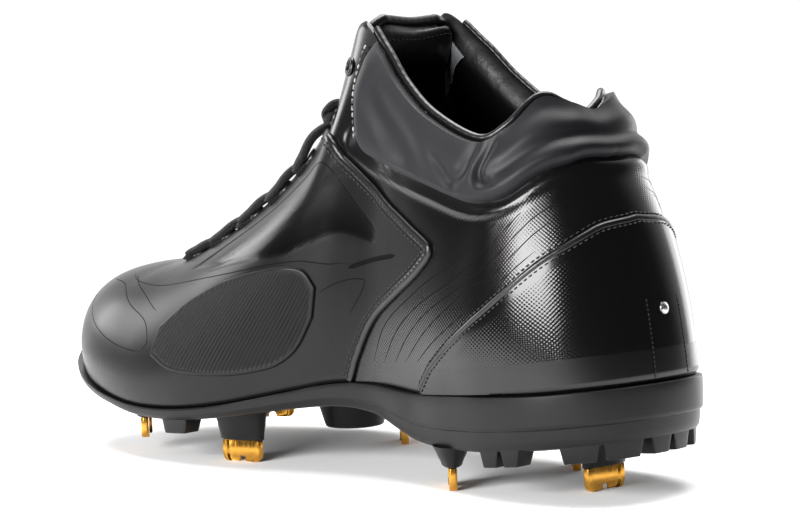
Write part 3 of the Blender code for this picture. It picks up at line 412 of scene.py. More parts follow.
def distance_to(points, line):
    """Distance from each point to a line of close points, and how far along it the nearest one lies."""
    tree = KDTree(len(line))
    for index, point in enumerate(line):
        tree.insert(point, index)
    tree.balance()
    found = [tree.find(point) for point in points.reshape(-1, 3)]
    distance = np.array([hit[2] for hit in found]).reshape(points.shape[:-1])
    along = np.array([hit[1] for hit in found]).reshape(points.shape[:-1]) / (len(line) - 1)
    return distance, along


def line_on_form(points, count):
    """Close points on the form along a curve of (station, share) points."""
    path = smooth_through(points, np.linspace(0, len(points) - 1, 30 * len(points)))
    length = lengths_along(form(path[:, 0], path[:, 1]))
    even = np.linspace(0, length[-1], count)
    station, share = (np.interp(even, length, path[:, axis]) for axis in (0, 1))
    return station, share, on_form(station, share)


def rounded(distance, radius):
    """Rise of a rounded edge, from 0 at the edge to 1 one radius in."""
    inside = np.clip(np.asarray(distance) / radius, 0, 1)
    return np.sqrt(1 - (1 - inside) ** 2)


def lattice(name, points, span=None, measures=None, wrap=True, slots=None, sealed=True):
    """A mesh from a grid primitive: columns run along it and rows run round its section.

    Rows close on themselves when wrap is set, columns and ends that coincide are merged, and open
    ends are filled. measures are values for each point, and slots gives each row's material slot.
    """
    measures = measures or {}
    if wrap:
        points = np.concatenate([points, points[:, :1]], 1)
        measures = {key: np.concatenate([value, value[:, :1]], 1) for key, value in measures.items()}
        if span is not None:
            span = np.concatenate([span, span[:, :1]], 1)
    columns, rows = points.shape[:2]
    if span is None:
        along = lengths_along(points.mean(1))
        round_section = lengths_along(points[columns // 2])
        span = np.stack(np.meshgrid(along, round_section, indexing="ij"), -1)
    bpy.ops.object.select_all(action="DESELECT")
    bpy.ops.mesh.primitive_grid_add(x_subdivisions=columns - 1, y_subdivisions=rows - 1, size=2)
    piece = bpy.context.object
    piece.name = name
    mesh = piece.data
    mesh.name = name
    flat = np.empty(len(mesh.vertices) * 3)
    mesh.vertices.foreach_get("co", flat)
    flat = flat.reshape(-1, 3)
    column = np.rint((flat[:, 0] + 1) / 2 * (columns - 1)).astype(int)
    row = np.rint((flat[:, 1] + 1) / 2 * (rows - 1)).astype(int)
    mesh.vertices.foreach_set("co", points[column, row].ravel())
    corner = np.empty(len(mesh.loops), int)
    mesh.loops.foreach_get("vertex_index", corner)
    layer = mesh.uv_layers[0]
    layer.name = "surface"
    layer.data.foreach_set("uv", span[column[corner], row[corner]].ravel())
    for key, value in measures.items():
        mesh.attributes.new(key, "FLOAT", "POINT").data.foreach_set("value", value[column, row].ravel())
    if slots is not None:
        lowest = row[corner].reshape(-1, 4).min(1)
        mesh.polygons.foreach_set("material_index", np.asarray(slots)[lowest])
    if sealed:
        close(mesh)
    return piece


def close(mesh, merge=1e-6):
    """Merge doubles, fill open ends, turn the faces outward and shade smooth."""
    bm = bmesh.new()
    bm.from_mesh(mesh)
    bmesh.ops.remove_doubles(bm, verts=bm.verts, dist=merge)
    bmesh.ops.dissolve_degenerate(bm, edges=bm.edges, dist=merge)
    loose = [vert for vert in bm.verts if not vert.link_faces]
    bmesh.ops.delete(bm, geom=loose, context="VERTS")
    rims = [edge for edge in bm.edges if edge.is_boundary]
    if rims:
        bmesh.ops.holes_fill(bm, edges=rims)
    bmesh.ops.recalc_face_normals(bm, faces=bm.faces)
    if bm.calc_volume(signed=True) < 0:
        bmesh.ops.reverse_faces(bm, faces=bm.faces)
    bm.to_mesh(mesh)
    bm.free()
    mesh.shade_smooth()
    mesh.set_sharp_from_angle(angle=math.radians(55))


def panel(name, stations, shares, top, base, measures=None):
    """A closed sheet over the form, from height base to height top, pinched shut at its border."""
    top = np.broadcast_to(top, stations.shape).copy()
    base = np.broadcast_to(base, stations.shape)
    for border in (np.s_[0], np.s_[-1], np.s_[:, 0], np.s_[:, -1]):
        top[border] = base[border]
    outer, inner = on_form(stations, shares, top), on_form(stations, shares, base)
    span = span_of(stations, shares)
    points = np.concatenate([outer, inner[:, -2:0:-1]], 1)
    spans = np.concatenate([span, span[:, -2:0:-1]], 1)
    both = {key: np.concatenate([value, value[:, -2:0:-1]], 1) for key, value in (measures or {}).items()}
    return lattice(name, points, spans, both)


def sweep(name, path, side, up, profile):
    """A section of (aside, above) points carried along a path with its own directions."""
    profile = np.asarray(profile, float)
    points = path[:, None] + side[:, None] * profile[None, :, :1] + up[:, None] * profile[None, :, 1:]
    return lattice(name, points)


def unit(vectors):
    """The same directions at length one."""
    return vectors / np.linalg.norm(vectors, axis=-1)[..., None]


def frame_on_form(station, share):
    """Points of a line on the form, its side direction and the outward normal."""
    point = on_form(station, share)
    run = unit(np.gradient(point, axis=0))
    out = outward(station, share)
    return point, unit(np.cross(run, out)), out


def circle(width, height=None, count=12):
    turn = 2 * math.pi * np.arange(count) / count
    height = width if height is None else height
    return np.stack([np.cos(turn) * width / 2, np.sin(turn) * height / 2], 1)


def placed(name, data):
    """A new object in the scene."""
    thing = bpy.data.objects.new(name, data)
    bpy.context.collection.objects.link(thing)
    return thing


def worked(piece, tool, operation):
    """Cut a tool out of a piece, or unite the two; the tool goes."""
    step = piece.modifiers.new("tool", "BOOLEAN")
    step.operation = operation
    step.object = tool
    bpy.context.view_layer.objects.active = piece
    bpy.ops.object.modifier_apply(modifier="tool")
    bpy.data.objects.remove(tool)


def finished(piece, slot, *materials, replaces=()):
    """Give a piece its materials, let it ride and stand for its nodes; slot is not used."""
    for material in materials:
        piece.data.materials.append(material)
    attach(piece, "root")
    if replaces:
        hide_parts(*replaces)
    return piece


def linear(hex_colour):
    values = [int(hex_colour[k:k + 2], 16) / 255 for k in (1, 3, 5)]
    return (*[v / 12.92 if v <= 0.04045 else ((v + 0.055) / 1.055) ** 2.4 for v in values], 1.0)


def finish(name, colour, roughness, **sockets):
    """A new material with its shader's own sockets set; returns it, its tree and its shader."""
    material = bpy.data.materials.new(name)
    material.use_nodes = True
    shader = material.node_tree.nodes["Principled BSDF"]
    shader.inputs["Base Color"].default_value = linear(colour)
    shader.inputs["Roughness"].default_value = roughness
    for socket, value in sockets.items():
        shader.inputs[socket.replace("_", " ")].default_value = value
    return material, material.node_tree, shader


def add(tree, kind, inputs=(), output=0, **settings):
    """One output of a new node; its inputs, by name or in order, are set to values or linked."""
    node = tree.nodes.new("ShaderNode" + kind)
    for key, value in settings.items():
        setattr(node, key, value)
    for socket, value in inputs.items() if isinstance(inputs, dict) else enumerate(inputs):
        if isinstance(value, bpy.types.NodeSocket):
            tree.links.new(value, node.inputs[socket])
        else:
            node.inputs[socket].default_value = value
    return node.outputs[output]


def in_mm(tree, source):
    """Object or surface coordinates, in millimetres."""
    if source == "surface":
        vector = add(tree, "UVMap", output="UV", uv_map="surface")
    else:
        vector = add(tree, "TexCoord", output="Object")
    return add(tree, "Mapping", {"Vector": vector, "Scale": (1000, 1000, 1000)})


def noise(tree, scale, detail):
    """Noise over the object, with about that many spots to a millimetre."""
    return add(tree, "TexNoise", {"Vector": in_mm(tree, "object"), "Scale": scale, "Detail": detail})


def ramp(tree, value, low, high, start, end):
    """A smooth change from start to end as the value goes from low to high."""
    return add(tree, "MapRange", (value, low, high, start, end), interpolation_type="SMOOTHSTEP")


def tinted(tree, shader, share, first, second):
    """Base colour that goes from the first to the second with the share."""
    colours = {"Factor": share, "A": linear(first), "B": linear(second)}
    tint = add(tree, "Mix", colours, "Result", data_type="RGBA")
    tree.links.new(tint, shader.inputs["Base Color"])


def relief(tree, shader, height, depth_mm, below=None):
    """Relief of that depth on the shader's normal, over an earlier one if given."""
    inputs = {"Height": height, "Distance": depth_mm * MM, "Strength": 1.0}
    if below is not None:
        inputs["Normal"] = below
    normal = add(tree, "Bump", inputs)
    tree.links.new(normal, shader.inputs["Normal"])
    return normal


def grain(tree, shader, size_mm, depth_mm, below=None):
    """Fine pebble of a coated leather: cell edges softened with noise."""
    vector = in_mm(tree, "object")
    cells = add(tree, "TexVoronoi", {"Vector": vector, "Scale": 1 / size_mm}, "Distance",
                feature="SMOOTH_F1")
    soft = add(tree, "TexNoise", {"Vector": vector, "Scale": 1.7 / size_mm, "Detail": 3.0})
    return relief(tree, shader, add(tree, "Math", (cells, soft), operation="ADD"), depth_mm, below)


def handled(tree, size_mm, low, high):
    """Roughness that drifts between two values in soft patches of that size."""
    patches = noise(tree, 1 / size_mm, 4.0)
    return ramp(tree, patches, 0.35, 0.65, low, high)


def vamp_leather():
    """Matte polyurethane-coated microfibre with fine upright ribs; its sunk panel is ironed smoother and
    painted darker with its depth as painted shade.
    """
    material, tree, shader = finish("microfibre_matte_coated", "#131314", 0.33, Specular_IOR_Level=0.19)
    sunk = add(tree, "Attribute", output="Fac", attribute_name="sunk")
    # painted shade: the base colour darkens where the panel sinks, most towards its lower edge
    tinted(tree, shader, sunk, "#131314", "#050505")
    ironed = ramp(tree, sunk, 0.0, 0.6, 0.0, 0.18)
    rough = add(tree, "Math", (handled(tree, 30, 0.28, 0.35), ironed), operation="SUBTRACT")
    tree.links.new(rough, shader.inputs["Roughness"])
    normal = grain(tree, shader, 0.6, 0.007)
    ribs = add(tree, "TexWave", {"Vector": in_mm(tree, "surface"), "Scale": 0.26, "Distortion": 0.5,
                                 "Detail": 1.0}, bands_direction="X")
    relief(tree, shader, ribs, 0.018, normal)
    return material


def cells_height(tree):
    """Staggered rows of small pressed diamonds."""
    place = add(tree, "SeparateXYZ", (in_mm(tree, "surface"),)).node
    waves = []
    for axis, pitch in (("X", CELL_PITCH), ("Y", 2 * CELL_ROW)):
        turn = add(tree, "Math", (place.outputs[axis], 2 * math.pi / pitch), operation="MULTIPLY")
        waves.append(add(tree, "Math", (turn,), operation="COSINE"))
    return add(tree, "Math", waves, operation="MULTIPLY")


def quarter_leather():
    """Glossy polyurethane leather embossed with small staggered diamonds that fade near its seams."""
    material, tree, shader = finish("patent_microfibre_embossed", "#060607", 0.2, Specular_IOR_Level=0.45)
    edge = add(tree, "Attribute", output="Fac", attribute_name="seam_mm")
    fade = ramp(tree, edge, 4.0, 10.0, 0.0, 1.0)
    height = add(tree, "Math", (cells_height(tree), fade), operation="MULTIPLY")
    relief(tree, shader, height, CELL_DEPTH, grain(tree, shader, 0.9, 0.007))
    rough = ramp(tree, edge, 2.0, 10.0, 0.24, 0.17)
    tree.links.new(rough, shader.inputs["Roughness"])
    return material


def counter_leather():
    """Glossy embossed leather of the heel, plain and duller in its lower band, edge and back strip."""
    material, tree, shader = finish("patent_microfibre_counter", "#050506", 0.16, Specular_IOR_Level=0.42)
    band = add(tree, "Attribute", output="Fac", attribute_name="band_mm")
    edge = add(tree, "Attribute", output="Fac", attribute_name="seam_mm")
    strip = add(tree, "Attribute", output="Fac", attribute_name="strip_mm")
    mask = ramp(tree, band, -0.1, 0.3, 0.0, 1.0)
    height = cells_height(tree)
    off_seam = ramp(tree, edge, 4.0, 6.0, 0.0, 1.0)
    off_strip = ramp(tree, strip, -14.0, 0.0, 1.0, 0.0)
    for share in (mask, off_seam, off_strip):
        height = add(tree, "Math", (height, share), operation="MULTIPLY")
    tinted(tree, shader, mask, "#070708", "#050506")
    relief(tree, shader, height, CELL_DEPTH, grain(tree, shader, 0.8, 0.006))
    rough = ramp(tree, mask, 0.0, 1.0, 0.27, 0.16)
    tree.links.new(rough, shader.inputs["Roughness"])
    return material


def seam_leather():
    """Turned and stitched edge of glossy leather: black, slightly puckered."""
    material, tree, shader = finish("microfibre_turned_edge", "#0a0a0b", 0.30, Specular_IOR_Level=0.5)
    puckers = noise(tree, 0.4, 2.0)
    relief(tree, shader, puckers, 0.12, grain(tree, shader, 0.7, 0.008))
    return material


def pad_leather():
    """Soft-touch polyurethane over foam: dark purplish grey, no shine, fine lengthwise ribs at the back."""
    material, tree, shader = finish("soft_polyurethane_over_foam", "#121115", 0.46, Sheen_Weight=0.05,
                                    Sheen_Roughness=0.4, Specular_IOR_Level=0.24)
    tree.links.new(handled(tree, 22, 0.44, 0.56), shader.inputs["Roughness"])
    ribs = add(tree, "TexWave", {"Vector": in_mm(tree, "surface"), "Scale": 0.48, "Distortion": 0.4,
                                 "Detail": 1.0}, bands_direction="Y")
    where = add(tree, "Attribute", output="Fac", attribute_name="ribbed")
    height = add(tree, "Math", (ribs, where), operation="MULTIPLY")
    grain(tree, shader, 0.6, 0.010, relief(tree, shader, height, 0.012))
    return material


def lining_leather():
    """Smooth lining leather over foam: black, satin, with fine wrinkles."""
    material, tree, shader = finish("lining_polyurethane", "#0b0b0c", 0.36, Specular_IOR_Level=0.5)
    wrinkles = noise(tree, 0.10, 3.0)
    relief(tree, shader, wrinkles, 0.5, grain(tree, shader, 1.1, 0.015))
    return material


def tongue_leather():
    """Padded nappa-like polyurethane: black, satin, creased by its foam."""
    material, tree, shader = finish("nappa_polyurethane", "#101011", 0.34, Specular_IOR_Level=0.5)
    wrinkles = noise(tree, 0.12, 3.0)
    relief(tree, shader, wrinkles, 0.6, grain(tree, shader, 0.9, 0.015))
    return material


def piping_leather():
    """Cord wrapped in thin leather: glossy black with small wrinkles across it."""
    material, tree, shader = finish("wrapped_cord_leather", "#0b0b0b", 0.32, Specular_IOR_Level=0.45)
    wrinkles = add(tree, "TexWave", {"Vector": in_mm(tree, "surface"), "Scale": 0.09, "Distortion": 1.5,
                                     "Detail": 2.0}, bands_direction="X")
    relief(tree, shader, wrinkles, 0.04)
    return material


def sole_plastic():
    """Injection-moulded thermoplastic polyurethane: satin black with a fine spark-eroded texture."""
    material, tree, shader = finish("polyurethane_moulded", "#0c0c0d", 0.34, Specular_IOR_Level=0.24)
    tree.links.new(handled(tree, 18, 0.30, 0.40), shader.inputs["Roughness"])
    fine = noise(tree, 3.0, 2.0)
    relief(tree, shader, fine, 0.004)
    return material


def guard_rubber():
    """Moulded synthetic rubber: satin black, slightly dusty in soft patches."""
    material, tree, shader = finish("synthetic_rubber_moulded", "#080809", 0.38, Specular_IOR_Level=0.25)
    tree.links.new(handled(tree, 9, 0.36, 0.48), shader.inputs["Roughness"])
    fine = noise(tree, 2.5, 2.0)
    relief(tree, shader, fine, 0.004)
    return material


def lace_braid():
    """Braided polyester over a cotton core: deep black, fuzzy, no shine."""
    material, tree, shader = finish("polyester_braid", "#080808", 0.85, Sheen_Weight=0.12,
                                    Sheen_Roughness=0.5, Specular_IOR_Level=0.2)
    turned = add(tree, "Mapping", {"Vector": in_mm(tree, "surface"), "Rotation": (0, 0, math.radians(35))})
    braid = add(tree, "TexBrick", {"Vector": turned, "Scale": 1.0, "Mortar Size": 0.16, "Brick Width": 1.3,
                                   "Mortar Smooth": 1.0, "Row Height": 0.65}, "Fac", offset=0.5)
    normal = relief(tree, shader, add(tree, "Math", (1.0, braid), operation="SUBTRACT"), 0.22)
    fuzz = noise(tree, 3.5, 5.0)
    relief(tree, shader, fuzz, 0.35, normal)
    return material


def stitch_thread():
    """Waxed polyester thread: black with a faint shine."""
    material, tree, shader = finish("polyester_thread", "#141415", 0.42)
    twist = noise(tree, 3.0, 2.0)
    relief(tree, shader, twist, 0.08)
    return material


def bright_thread():
    """Thread of the pad, its pale patches painted highlight standing in for glints: mid grey with a faint
    shine.
    """
    material, tree, shader = finish("polyester_thread_painted_glints", "#5a5a58", 0.4)
    glint_noise = noise(tree, 0.35, 2.0)
    painted_glint = ramp(tree, glint_noise, 0.4, 0.6, 0.0, 1.0)
    # painted highlight: pale patches in the thread's colour stand in for glints on its gloss
    tinted(tree, shader, painted_glint, "#343433", "#a2a29e")
    return material


def engraved_line():
    """Heat-pressed hairline: the leather's own black without its gloss; laid wide on the vamp's slash, the
    same dark finish is painted shade for the slit.
    """
    material, tree, shader = finish("pressed_hairline", "#040404", 0.6, Specular_IOR_Level=0.06)
    fine = noise(tree, 2.0, 2.0)
    relief(tree, shader, fine, 0.03)
    return material


def insole_cloth():
    """Knitted polyester over foam, about 2 stitches to a millimetre, drawn at half that count."""
    material, tree, shader = finish("polyester_knit", "#141415", 0.9, Sheen_Weight=0.3)
    knit = add(tree, "TexBrick", {"Vector": in_mm(tree, "object"), "Scale": 1.0, "Mortar Size": 0.2,
                                  "Brick Width": 1.1, "Mortar Smooth": 1.0, "Row Height": 0.9}, "Fac",
               offset=0.5)
    relief(tree, shader, add(tree, "Math", (1.0, knit), operation="SUBTRACT"), 0.2)
    return material


def label_cloth():
    """Plain woven polyester tape: light grey, matte, fine upright threads."""
    material, tree, shader = finish("polyester_tape_woven", "#8a8c8f", 0.8)
    threads = add(tree, "TexWave", {"Vector": in_mm(tree, "object"), "Scale": 0.9}, bands_direction="Z")
    relief(tree, shader, threads, 0.08)
    return material


def gold_plate():
    """Steel plated with polished gold-coloured nitride: deep yellow, faint upright brush marks."""
    material, tree, shader = finish("steel_gold_plated", "#d2993f", 0.2, Metallic=1.0)
    drawn_out = add(tree, "Mapping", {"Vector": in_mm(tree, "object"), "Scale": (3.0, 3.0, 0.25)})
    marks = add(tree, "TexNoise", {"Vector": drawn_out, "Scale": 1.0, "Detail": 3.0})
    rough = ramp(tree, marks, 0.3, 0.7, 0.14, 0.28)
    tree.links.new(rough, shader.inputs["Roughness"])
    relief(tree, shader, marks, 0.03)
    return material


def rivet_steel():
    """Tumbled stainless steel: bright, slightly cloudy."""
    material, tree, shader = finish("stainless_steel_tumbled", "#c9c9cb", 0.25, Metallic=1.0)
    cloud = noise(tree, 1.2, 3.0)
    rough = ramp(tree, cloud, 0.3, 0.7, 0.18, 0.34)
    tree.links.new(rough, shader.inputs["Roughness"])
    return material


def vamp_seam_line():
    """The vamp's back edge on the inner side, from the sole up to the throat."""
    shares = np.linspace(0.0, 1.0, 60)
    return np.stack([along_table(VAMP_EDGE, shares), shares], 1)


def counter_seam_line():
    stations = np.linspace(-COUNTER_EDGE[-1][0], COUNTER_EDGE[-1][0], 90)
    return np.stack([stations, along_table(COUNTER_EDGE, abs(stations))], 1)


def both_sides(line):
    """The same line on the inner and on the outer side."""
    mirrored = [(-station, share) for station, share in line]
    return (line, mirrored)


def crease(points, path, depth_mm, width_mm):
    """Lowering of points near a crease, in metres, softer towards its ends."""
    line = line_on_form(path, 80)[2]
    distance, along = distance_to(points, line)
    fade = np.sin(np.pi * np.clip(along * 0.9 + 0.05, 0, 1)) ** 0.6
    return -depth_mm * MM * fade * np.exp(-(distance / (width_mm * MM)) ** 2)


def lining_swell(station, share):
    """How far the foam behind the collar's lining stands into the opening."""
    round_collar = soft_step((8.4 - abs((station + TOE_STATION) % STATIONS - TOE_STATION)) / 1.0)
    rise = soft_step((share - 0.70) / 0.14) * soft_step((1.0 - share) / 0.07)
    return LINING_SWELL * round_collar * rise


def quarter():
    """The hollow upper itself: embossed outside, lining inside, with a soft rolled opening."""
    stations = np.linspace(0, STATIONS, STATIONS * 10 + 1)[:, None]
    up, down = np.linspace(0, 1, OUTER_ROWS), np.linspace(1, 0, LINING_ROWS)
    outer = on_form(stations, up[None])
    folded = (stations + TOE_STATION) % STATIONS - TOE_STATION
    under_pad = np.linspace(-PAD_REACH, PAD_REACH, 80)
    pad_line = np.stack([under_pad, along_table(PAD_EDGE, abs(under_pad))], 1)
    away = distance_to(outer, line_on_form(pad_line, 500)[2])[0] / MM
    below = np.broadcast_to(up[None] < along_table(PAD_EDGE, abs(folded)) + 0.02, away.shape)
    roll = 1.2 * MM * np.exp(-((away - 3.0) / 2.2) ** 2) * below
    outer = on_form(stations, up[None], roll)
    inner = on_form(stations, down[None], -UPPER_WALL - lining_swell(stations, down[None]))
    crown = on_form(stations[:, 0], np.ones(len(stations)), -UPPER_WALL / 2)
    lift = outer[:, -1] - outer[:, -2]
    crown += unit(lift) * UPPER_WALL * 0.4
    points = np.concatenate([outer, crown[:, None], inner], 1)
    shares = np.concatenate([up, [1.0], down])[None]
    span = span_of(np.broadcast_to(stations, points.shape[:2]), np.broadcast_to(shares, points.shape[:2]))
    seams = np.concatenate([line_on_form(line, 300)[2] for line in both_sides(vamp_seam_line())])
    distance = distance_to(points, seams)[0]
    front = np.clip((abs(folded) - 6.0) * 12, 0, None) * (shares > 0.60)
    distance = np.where(front > 0, np.minimum(distance, MM * np.clip(10 - front, 0, 10)), distance)
    low = np.full(distance.shape, 99.0)
    low[:, :OUTER_ROWS] = away + 2.5
    distance = np.minimum(distance, low * MM)
    slots = [0] * OUTER_ROWS + [1] * (LINING_ROWS + 2)
    piece = lattice("quarter", points, span, {"seam_mm": distance / MM}, slots=slots)
    finished(piece, "gloss_leather", quarter_leather(), lining_leather(), replaces=["upper"])
    for way in (1, -1):
        bore(piece, on_form(way * eyelet_stations()[0], EYELET_SHARE),
             outward(way * eyelet_stations()[0], EYELET_SHARE))
    return piece


def bore(piece, spot, out):
    """Cut a lace hole through a piece."""
    turned = Vector(out).to_track_quat("Z", "Y").to_euler()
    bpy.ops.object.select_all(action="DESELECT")
    bpy.ops.mesh.primitive_cylinder_add(vertices=24, radius=EYELET_HOLE / 2, depth=0.012, location=spot,
                                        rotation=turned)
    worked(piece, bpy.context.object, "DIFFERENCE")


def vamp():
    """Matte front panel with a sunk side panel that deepens towards its lower edge."""
    shares = np.linspace(0, 1, 70)
    edge = along_table(VAMP_EDGE, shares)
    part = np.linspace(0, 1, 321)[:, None]
    stations = edge[None] + (STATIONS - 2 * edge)[None] * part
    shares = np.broadcast_to(shares[None], stations.shape)
    flat = on_form(stations, shares)
    top = np.full(stations.shape, GAP + VAMP_THICKNESS)
    sunk = np.zeros(stations.shape)
    for side in (1, -1):
        path = [(side * station, share) for station, share in RECESS]
        mask = inside_of(stations if side > 0 else stations - STATIONS, shares, path)
        distance = distance_to(flat, line_on_form(path, 400)[2])[0]
        inside = soft_step(np.where(mask, distance, -distance) / (3.0 * MM) + 0.5)
        near_low = distance_to(flat, line_on_form(path[4:], 200)[2])[0]
        sunk += inside * np.exp(-near_low / RECESS_FALL)
    top -= RECESS_DEPTH * sunk
    # sunk carries the depth to the material, which also paints shade in the recess with it
    piece = panel("vamp", stations, shares, top, GAP, {"sunk": sunk})
    return finished(piece, "matte_leather", vamp_leather(), replaces=["vamp"])


def inside_of(stations, shares, path):
    """Which places lie inside a closed outline of (station, share) points."""
    ring = smooth_through(path, np.linspace(0, len(path) - 1, 12 * len(path)))
    inside = np.zeros(stations.shape, bool)
    for (u0, v0), (u1, v1) in zip(ring[:-1], ring[1:]):
        crosses = (v0 > shares) != (v1 > shares)
        place = u0 + (shares - v0) * (u1 - u0) / (v1 - v0 if v1 != v0 else 1e-9)
        inside ^= crosses & (stations < place)
    return inside


def counter():
    """Heel counter: glossy cells above, a plain duller band below and a plain strip up the back."""
    reach = COUNTER_EDGE[-1][0]
    stations = np.linspace(-reach, reach, 197)[:, None]
    tops = along_table(COUNTER_EDGE, abs(stations))
    shares = np.linspace(0, 1, 38)[None] * tops
    stations = np.broadcast_to(stations, shares.shape)
    flat = on_form(stations, shares)
    distance = distance_to(flat, line_on_form(counter_seam_line(), 400)[2])[0]
    strip = np.minimum(STRIP[1] - stations, stations - STRIP[0]) * STATION_MM
    piece = panel("heel_counter", stations, shares, GAP + COUNTER_THICKNESS, GAP,
                  {"seam_mm": distance / MM, "band_mm": (shares - BAND_TOP) * SHARE_MM,
                   "strip_mm": strip})
    return finished(piece, "gloss_leather", counter_leather(), replaces=["heel_counter"])


def collar_pad():
    """Foam-filled cuff: full over its lower seam, softly creased, rounded in at the opening."""
    rise = np.linspace(0, 1, 44)
    front = along_table(PAD_FRONT, rise)
    part = np.linspace(-1, 1, 301)[:, None]
    stations = part * front[None]
    low = along_table(PAD_EDGE, abs(stations))
    shares = low + (1 - low) * rise[None]
    flat = on_form(stations, shares)
    to_front = (front[None] - abs(stations)) * 15 * MM
    swell = rounded(rise[None], 0.16) * (1 - 0.42 * soft_step((rise[None] - 0.45) / 0.55))
    swell = swell * rounded(to_front, 6 * MM)
    top = GAP + PAD_THICKNESS * swell
    for path, depth, width in PAD_CREASES:
        for side_path in both_sides(path) if path[0][0] * path[-1][0] > 0 else (path,):
            top += crease(flat, side_path, depth, width) * np.clip(swell, 0, 1)
    top = np.maximum(top, GAP + 0.2 * MM)
    top[:, -1] = GAP + PAD_THICKNESS * 0.45
    ribbed = soft_step((4.0 - abs(stations)) / 0.8)
    piece = panel("collar_pad", stations, shares, top, GAP, {"ribbed": ribbed})
    return finished(piece, "collar_leather", pad_leather(), replaces=["collar_pad"])


def side_guards():
    """Ribbed rubber guard on each side of the forefoot, with a plain rim and fine slanted ribs."""
    rubber = guard_rubber()
    table = np.array(GUARD)
    fine = np.linspace(0, len(table) - 1, 361)
    rows = smooth_through(table, fine)
    across = np.linspace(0, 1, 81)
    for side, word in ((1, "medial"), (-1, "lateral")):
        stations = np.broadcast_to(side * rows[:, :1], (361, 81))
        shares = rows[:, 1:2] + (rows[:, 2:] - rows[:, 1:2]) * across[None]
        spans = span_of(abs(stations), shares)
        border = np.concatenate([spans[0], spans[-1], spans[:, 0], spans[:, -1]])
        border = np.concatenate([border, np.zeros((len(border), 1))], 1)
        edge = distance_to(np.concatenate([spans, np.zeros((361, 81, 1))], -1), border)[0] / MM
        slanted = spans[..., 0] + 0.55 * spans[..., 1]
        ribs = 0.5 + 0.5 * np.cos(2 * np.pi * slanted / GUARD_RIB_PITCH)
        base = 2 * GAP + VAMP_THICKNESS
        low_ribs = GUARD_RIB_DEPTH * ribs * soft_step((edge - 1.6) / 0.8)
        top = base + GUARD_HEIGHT * rounded(edge, 0.9) - low_ribs
        piece = panel("side_guard_" + word, stations, shares, top, base)
        finished(piece, "guard_rubber", rubber, replaces=["side_guard_" + word])


def seam_bands(leather):
    """Turned edges: a rounded band on the vamp's back edge, a rolled rib on the counter's top edge."""
    vamp_profile = np.array(((-0.25, 0.1), (-0.35, 0.6), (-0.15, 1.15), (0.35, 1.55), (1.1, 1.72),
                             (2.0, 1.62), (2.7, 1.40), (3.0, 1.16), (3.2, 0.5), (1.5, 0.3))) * MM
    for line, word in zip(both_sides(vamp_seam_line()), ("medial", "lateral")):
        station, share, _ = line_on_form(line, 260)
        path, side, out = frame_on_form(station, share)
        piece = sweep("vamp_seam_" + word, path, side * np.sign(side[:, 1].mean()), out, vamp_profile)
        finished(piece, "gloss_leather", leather)
    rib = np.array(((-0.5, 0.05), (-0.45, 0.5), (-0.2, 1.1), (0.2, 1.65), (0.7, 1.85), (1.2, 1.78),
                    (1.6, 1.62), (1.9, 1.45), (2.0, 0.6), (0.8, 0.3))) * MM
    station, share, _ = line_on_form(counter_seam_line(), 300)
    path, side, out = frame_on_form(station, share)
    down = side * np.where(side[len(side) // 2, 2] < 0, 1, -1)
    piece = sweep("counter_seam", path, down, out, rib)
    finished(piece, "gloss_leather", leather)


def stitches(name, lines, thread, pitch=2.2 * MM, length=1.6 * MM, width=0.55 * MM):
    """Rows of stitches as one piece; each line gives its points and its outward directions."""
    bpy.ops.object.select_all(action="DESELECT")
    bpy.ops.mesh.primitive_uv_sphere_add(segments=6, ring_count=5, radius=0.5)
    seed = bpy.context.object
    base = np.array([vert.co for vert in seed.data.vertices]) * (length, width, width)
    faces = [list(face.vertices) for face in seed.data.polygons]
    bpy.data.objects.remove(seed)
    verts, polys = [], []
    for points, out in lines:
        reach = lengths_along(points)
        count = int(reach[-1] / pitch)
        middles = (np.arange(count) + 0.5) * reach[-1] / count
        spot, ahead, normal = (
            np.stack([np.interp(place, reach, track[:, k]) for k in range(3)], 1)
            for place, track in ((middles, points), (middles + 0.3 * MM, points), (middles, out)))
        run = ahead - spot
        run /= np.linalg.norm(run, axis=1)[:, None] + 1e-12
        aside = unit(np.cross(normal, run))
        for k in range(count):
            turn = np.stack([run[k], aside[k], normal[k]])
            polys += [[vert + len(verts) * len(base) for vert in face] for face in faces]
            verts.append(spot[k] + base @ turn)
    mesh = bpy.data.meshes.new(name)
    mesh.from_pydata(np.concatenate(verts).tolist(), [], polys)
    mesh.shade_smooth()
    return finished(placed(name, mesh), "gloss_leather", thread)


def beside(line, offset, height, count=300):
    """Points and outward directions beside a line on the form, offset along its side direction."""
    station, share, _ = line_on_form(line, count)
    path, side, out = frame_on_form(station, share)
    return path + side * offset + out * height, out


